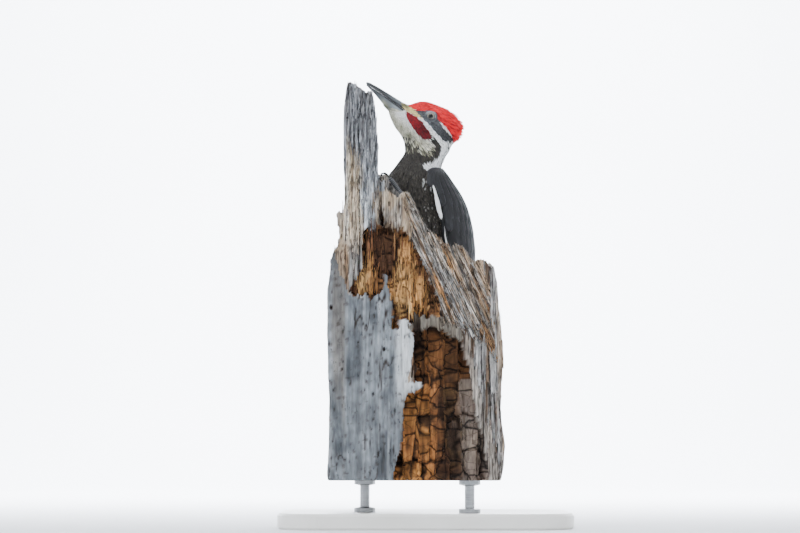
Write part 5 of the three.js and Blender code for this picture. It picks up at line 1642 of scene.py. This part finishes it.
def wood_piece(name, nodes, voxel, fillers):
    points, quads = remeshed(nodes, voxel, 0.35, fillers)
    points = smoothed(points, quads, 1)
    normal = normals_of(points, quads)
    x, y, z = points.T
    front = smoothstep(-0.15, -0.5, normal[:, 1]) * smoothstep(-60, -72, y)
    top = smoothstep(0.45, 0.75, normal[:, 2])
    zones = wood_zones(points, front)
    grain = grain_of(points, zones["torn"])
    side_on = smoothstep(0.8, 0.4, np.abs(normal[:, 2]))
    fibre = np.abs(waves(grain * (1, 1, 0.04), 7, 81, 4))
    bundle = waves(grain * (1, 1, 0.05), 15, 82, 2)
    deep = smoothstep(0.08, 0.0, np.abs(waves(grain * (1, 1, 0.03), 24, 84, 2))) * (bundle < 0.5)
    gaps = smoothstep(0.05, 0.0, np.abs(waves(grain * (1, 1, 0.07), 11, 86, 2)))
    deep = np.maximum(deep, gaps * np.maximum(zones["torn"], smoothstep(250, 270, z)) * front)
    # The spike is split by long narrow cracks.
    splits = smoothstep(0.07, 0.0, np.abs(waves(grain * (1, 1, 0.05), 12, 88, 2))) * smoothstep(335, 355, z)
    deep = np.maximum(deep, splits)
    steps, _ = cells(grain[:, 0], grain[:, 2], 7, 55, 3.1)
    loose = mix(1, 0.25, zones["slab"])
    relief = (1.4 * (fibre - 0.35) + 1.0 * bundle - 3.4 * deep) * side_on * loose
    relief = relief - 2.6 * steps * side_on * mix(0.35, 1, zones["torn"]) * loose
    (depth, _), (coarse, coarse_split) = rot_blocks(x, z)
    rot = np.maximum(zones["hollow"], zones["core"])
    ochre = np.maximum(within(OCHRE[0], x, z, 2, 143), within(OCHRE[1], x, z, 2, 145))
    broken = -7.5 - 1.2 * depth - 4.5 * coarse - 3.4 * coarse_split
    broken = broken + 4 * ochre - 3 * within(RECESS, x, z, 2, 147)
    relief = mix(relief, broken + 0.6 * relief, rot)
    relief = relief * mix(1, 1.35, smoothstep(350, 370, z))
    relief = relief + 0.8 * zones["ridge"] + 0.8 * zones["slab"] - 1.8 * zones["cap"] - 1.0 * zones["strip"]
    dents = waves(points * (1, 1, 0.35), 11, 117)
    pits = smoothstep(0.5, 0.85, waves(points * (1, 1, 0.55), 6, 119))
    checks = smoothstep(0.045, 0.0, np.abs(waves(points * (1, 1, 0.1), 17, 120, 2))) * (waves(points, 26, 121, 1) > -0.1)
    relief = relief - zones["slab"] * (1.1 * smoothstep(0.3, 0.8, dents) + 0.7 * pits + 1.8 * checks)
    holes = np.zeros(len(x))
    for hole_x, hole_z, radius in HOLES:
        holes = np.maximum(holes, smoothstep(radius, radius * 0.5, np.hypot(x - hole_x, (z - hole_z) * 0.7)))
    relief = relief - 4 * holes * front
    clear = smoothstep(1, 10, near_bird(points))
    relief = relief * smoothstep(49.2, 56, z) * mix(0.25, 1, clear)
    moved = points + normal * relief[:, None]
    # Broken tops: every bundle of fibres ends at its own height.
    ends, _ = cells(x, y, 4.5, 4.5, 6.1)
    shorter, _ = cells(x, y, 9, 8, 8.7)
    moved[:, 2] -= (5.5 * ends + 5 * shorter - 2.5) * top * clear * smoothstep(100, 200, z)
    # The left edge steps back where pieces of the shell have broken off.
    notches, _ = cells(z + 0.5 * y, y, 13, 9, 4.4)
    moved[:, 0] += 5 * notches * smoothstep(-84, -92, x) * smoothstep(240, 262, z) * smoothstep(350, 340, z)
    # The spike's top is torn into a few thick ends.
    torn_top = np.interp(moved[:, 0], *zip(*SPIKE_TOP)) + 1.5 * waves(np.stack([x, y], -1), 7, 122)
    moved[:, 2] = np.where(z > 405, np.minimum(moved[:, 2], torn_top), moved[:, 2])
    # The spike narrows on the bird's side towards its top.
    edge = np.interp(moved[:, 2], *zip(*SPIKE_EDGE)) + 0.7 * waves(points, 6, 118)
    narrow = smoothstep(385, 400, moved[:, 2]) * (moved[:, 0] > edge)
    moved[:, 0] = mix(moved[:, 0], edge, narrow)
    moved = smoothed(moved, quads, 1, 0.3)
    piece = new_object(name, moved, quads, WOOD, "dead_wood", nodes)
    tone = wood_colour(points, zones, front, top)
    # Deep grooves, splits, cracks between rot blocks, holes, gaps between fibres and the slab's checks and pits, all
    # sunk into the wood, are also painted dark brown: painted shade in them.
    shade = np.clip(0.9 * deep * side_on * loose + rot * 0.8 * coarse_split + holes * front, 0, 1)
    shade = np.maximum(shade, 0.5 * smoothstep(0.1, 0.0, fibre) * side_on * loose)
    shade = np.maximum(shade, zones["slab"] * np.maximum(0.7 * checks, 0.35 * pits))
    tone = mix(tone, CRACK_SHADE, shade[:, None])
    fibrous = np.clip(1 - 0.7 * zones["slab"] - 0.5 * rot - 0.3 * zones["cap"] - 0.25 * zones["ridge"], 0.2, 1)
    paint(piece, np.clip(tone, 0, 1), share=fibrous)
    keep_grain(piece, grain, rot, zones["slab"])
    print(name, len(quads) * 2, "triangles")
    return moved, quads


def keep_grain(piece, grain, rot=None, slab=None):
    """Keeps the place along the grain, and how rotten and how smooth the wood is."""
    zone = np.zeros_like(grain)
    if rot is not None:
        zone[:, 0], zone[:, 1] = rot, slab
    for name, values in (("Grain", grain * MM), ("Zone", zone)):
        layer = piece.data.attributes.new(name, "FLOAT_VECTOR", "POINT")
        layer.data.foreach_set("vector", values.astype(np.float32).ravel())


def bird_spots():
    """Places on the bird that the wood's relief and slivers keep clear of."""
    spots = [skin_points[::8]]
    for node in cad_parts:
        if node.startswith(("toe", "claw", "bill", "wing")):
            spots.append(arrays(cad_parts[node].data)[0])
    spots = np.concatenate(spots)
    tree = KDTree(len(spots))
    for index, spot in enumerate(spots.tolist()):
        tree.insert(spot, index)
    tree.balance()
    return tree


BIRD_SPOTS = bird_spots()


def near_bird(points):
    return np.array([BIRD_SPOTS.find(point)[2] for point in points.tolist()])


# A filler joins the torn wall to the wood behind it, so that the trunk is one.
# Another is the ledge that the left foot's claws hook over.
FILLERS = [((-90, -64, 49.1), (-46, -48, 322)), ((-52, -66, 49.1), (34, -48, 262)), ((-52, -66, 49.1), (-46, -48, 334)),
           ((-60, -89, 320), (-38.5, -66, 356.5))]
front_points, front_quads = wood_piece("snag_front", ["perch_front", "perch_spike"], 1.38, FILLERS)
back_points, back_quads = wood_piece("snag_back", ["perch_back"], 1.9, [])


def sliver_mesh(name, seed):
    """A torn sliver of wood a unit long, with a ragged upper end."""
    turn = np.random.default_rng(seed)
    rows, across = 4, 5
    points = []
    for i, t in enumerate(np.linspace(0, 1, rows)):
        for j in range(across):
            angle = 2 * math.pi * j / across
            swell = (0.35 + 0.65 * math.sin(math.pi * min(t * 1.3 + 0.12, 1) ** 0.8)) * (1 + turn.uniform(-0.25, 0.25))
            rise = t + (turn.uniform(-0.12, 0.1) if i else 0)
            points.append((0.5 * swell * math.cos(angle), 0.5 * swell * math.sin(angle), rise))
    k, j = np.meshgrid(np.arange(rows - 1), np.arange(across), indexing="ij")
    here, beside = k * across + j, k * across + (j + 1) % across
    quads = np.stack([here, beside, beside + across, here + across], -1).reshape(-1, 4)
    mesh = bpy.data.meshes.new(name)
    ends = [tuple(range(across))[::-1], tuple(range((rows - 1) * across, rows * across))]
    mesh.from_pydata([tuple(p) for p in points], [], [tuple(q) for q in quads.tolist()] + ends)
    mesh.validate()
    piece = bpy.data.objects.new(name, mesh)
    bpy.context.collection.objects.link(piece)
    return piece


def instancing_tree():
    """A node tree that sets one shape on every point by its own turn and size, and makes it all one mesh."""
    tree = bpy.data.node_groups.new("Set shapes on points", "GeometryNodeTree")
    sockets = {}
    for name, kind in (("Points", "Geometry"), ("Shape", "Object"), ("Finish", "Material"), ("Size", "Float")):
        sockets[name] = tree.interface.new_socket(name, in_out="INPUT", socket_type="NodeSocket" + kind).identifier
    tree.interface.new_socket("Pieces", in_out="OUTPUT", socket_type="NodeSocketGeometry")
    source = tree.nodes.new("NodeGroupInput").outputs
    shape = add_node(tree, "GeometryNodeObjectInfo", Object=source["Shape"])
    vector = {"data_type": "FLOAT_VECTOR"}
    turn = add_node(tree, "GeometryNodeInputNamedAttribute", vector, Name="Turn")
    scale = add_node(tree, "GeometryNodeInputNamedAttribute", vector, Name="Scale")
    sized = add_node(tree, "ShaderNodeVectorMath", {"operation": "SCALE"}, _0=scale.outputs["Attribute"],
                     Scale=source["Size"])
    placed = add_node(tree, "GeometryNodeInstanceOnPoints", Points=source["Points"],
                      Instance=shape.outputs["Geometry"], Rotation=turn.outputs["Attribute"], Scale=sized.outputs[0])
    real = add_node(tree, "GeometryNodeRealizeInstances", Geometry=placed.outputs["Instances"])
    done = add_node(tree, "GeometryNodeSetMaterial", Geometry=real.outputs[0], Material=source["Finish"])
    tree.links.new(done.outputs[0], tree.nodes.new("NodeGroupOutput").inputs[0])
    return tree, sockets


SET_SHAPES, SHAPE_SOCKETS = instancing_tree()


def set_on_points(name, shape, places, turns, scales, colours, material, slot):
    """Copies of a unit shape at these places, each with its own Euler turn, size in millimetres and colour."""
    cloud = bpy.data.meshes.new(name)
    cloud.vertices.add(len(places))
    cloud.vertices.foreach_set("co", (places * MM).ravel())
    for label, values in (("Turn", turns), ("Scale", scales * MM)):
        layer = cloud.attributes.new(label, "FLOAT_VECTOR", "POINT")
        layer.data.foreach_set("vector", np.asarray(values, np.float32).ravel())
    holder = bpy.data.objects.new(name, cloud)
    bpy.context.collection.objects.link(holder)
    paint(holder, colours)
    nodes = holder.modifiers.new("Pieces", "NODES")
    nodes.node_group = SET_SHAPES
    for label, value in (("Shape", shape), ("Finish", material), ("Size", 1.0)):
        nodes[SHAPE_SOCKETS[label]] = value
    made = bpy.data.meshes.new_from_object(holder.evaluated_get(bpy.context.evaluated_depsgraph_get()))
    holder.modifiers.remove(nodes)
    holder.data = made
    bpy.data.objects.remove(shape)
    return settle(holder, slot)


def turned_to(along, outward):
    """Euler angles that stand a shape's z along one way and its -y out another."""
    across = unit(np.cross(-outward, along))
    back = np.cross(along, across)
    turns = []
    for columns in zip(across.tolist(), back.tolist(), along.tolist()):
        turns.append(Matrix(columns).transposed().to_euler()[:])
    return np.array(turns)


def torn_slivers(name, points, quads, count, length, wide, thick, sunk, over, seed, where):
    """Slivers of torn fibre over the front of the wood, which lie along its grain and lift a little at one end."""
    turn = np.random.default_rng(seed)
    normal = normals_of(points, quads)
    zones = wood_zones(points, smoothstep(-0.15, -0.5, normal[:, 1]) * smoothstep(-60, -72, points[:, 1]))
    chance = where(points, normal, zones)
    pick = turn.choice(len(points), count, p=chance / chance.sum())
    torn = zones["torn"][pick][:, None]
    c, s = math.cos(DIAGONAL), math.sin(DIAGONAL)
    along = mix(np.array([0, 0, 1.0]), np.array([-s, 0, c]), torn) + turn.normal(0, 0.05, (count, 3))
    along = unit(along + normal[pick] * turn.uniform(0.0, 0.14, (count, 1)))
    outward = unit(normal[pick] - along * (normal[pick] * along).sum(1, keepdims=True) + turn.normal(0, 0.15, (count, 3)))
    outward = unit(outward - along * (outward * along).sum(1, keepdims=True))
    tall = turn.uniform(*length, count)
    scales = np.stack([turn.uniform(*wide, count), turn.uniform(*thick, count), tall], 1)
    places = points[pick] - along * (tall * 0.5)[:, None] - outward * sunk
    tips = places + along * tall[:, None]
    tops = np.where(tips[:, 0] < -48.5, np.interp(tips[:, 0], *zip(*SPIKE_TOP)), np.interp(tips[:, 0], *zip(*TOP_LINE)))
    keep = (places[:, 2] > 50) & (tips[:, 2] < tops + turn.uniform(-1, over, count)) & (near_bird(tips) > 2.5)
    keep &= (tips[:, 0] < 80) & (places[:, 0] < 80)
    for ends in (places, tips):
        # None hangs over the hollow or the core, and none leaves the outline on the left.
        for outline, zone in ((HOLLOW, "hollow"), (CORE, "core"), (SLAB, "slab")):
            keep &= ~(inside(outline, ends[:, 0], ends[:, 2]) & (zones[zone][pick] < 0.5))
        keep &= ends[:, 0] > np.interp(ends[:, 2], [40, 262, 285, 300, 345, 350, 470], [-99, -99, -92, -88, -84, -80.5, -80.5])
    tone = wood_colour(points[pick], {k: v[pick] for k, v in zones.items()}, np.ones(count), np.zeros(count))
    kind = turn.random(count)[:, None]
    tone = mix(tone, TAN, 0.6 * (kind < 0.16) * torn)
    tone = mix(tone, BROWN * 0.7, 0.8 * (kind > 0.84) * torn)
    tone = tone * turn.uniform(0.55, 1.3, (count, 1))
    piece = set_on_points(name, sliver_mesh("sliver", seed), places[keep], turned_to(along, outward)[keep],
                          scales[keep], np.clip(tone[keep], 0, 1), WOOD, "dead_wood")
    made = arrays(piece.data)[0]
    keep_grain(piece, grain_of(made, within(TORN, made[:, 0], made[:, 2], 1.5, 97)))
    print(name, len(piece.data.polygons))


def torn_places(p, n, zones):
    """How likely a sliver is at each place: most on the torn wall, the ridge and the spike."""
    spike = smoothstep(-46, -50, p[:, 0]) * smoothstep(280, 320, p[:, 2])
    likely = 0.15 + 1.6 * zones["torn"] + 0.5 * zones["hollow"] + 1.2 * zones["ridge"] + 0.8 * spike
    clear = (np.abs(n[:, 2]) < 0.6) & (near_bird(p) > 4) & (n[:, 1] < -0.35)
    return likely * clear * (1 - zones["slab"]) * (1 - zones["core"])


torn_slivers("snag_slivers", front_points, front_quads, 5200, (8, 34), (0.6, 2.4), (0.5, 1.1), 0.2, 1, 131, torn_places)
torn_slivers("snag_ends", front_points, front_quads, 520, (3, 8), (1.0, 2.6), (0.7, 1.8), 0.4, 2.5, 132,
             lambda p, n, zones: (n[:, 2] > 0.45) * (p[:, 2] > 150) * (near_bird(p) > 4) * 1.0)

# ------------------------------------------------------------------------------------------------ the stand
MATERIAL_OF = {"perch": WOOD, "stand_base": BOARD, "stand_rod": STEEL, "bill": BILL_HORN, "claw": CLAW_HORN,
               "toe": FOOT_SKIN, "shank": FOOT_SKIN, "eye": EYE, "tail": STIFF_FEATHER, "primaries": STIFF_FEATHER}
for node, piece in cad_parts.items():
    for start, material in MATERIAL_OF.items():
        if node.startswith(start):
            piece.data.materials.clear()
            piece.data.materials.append(material)
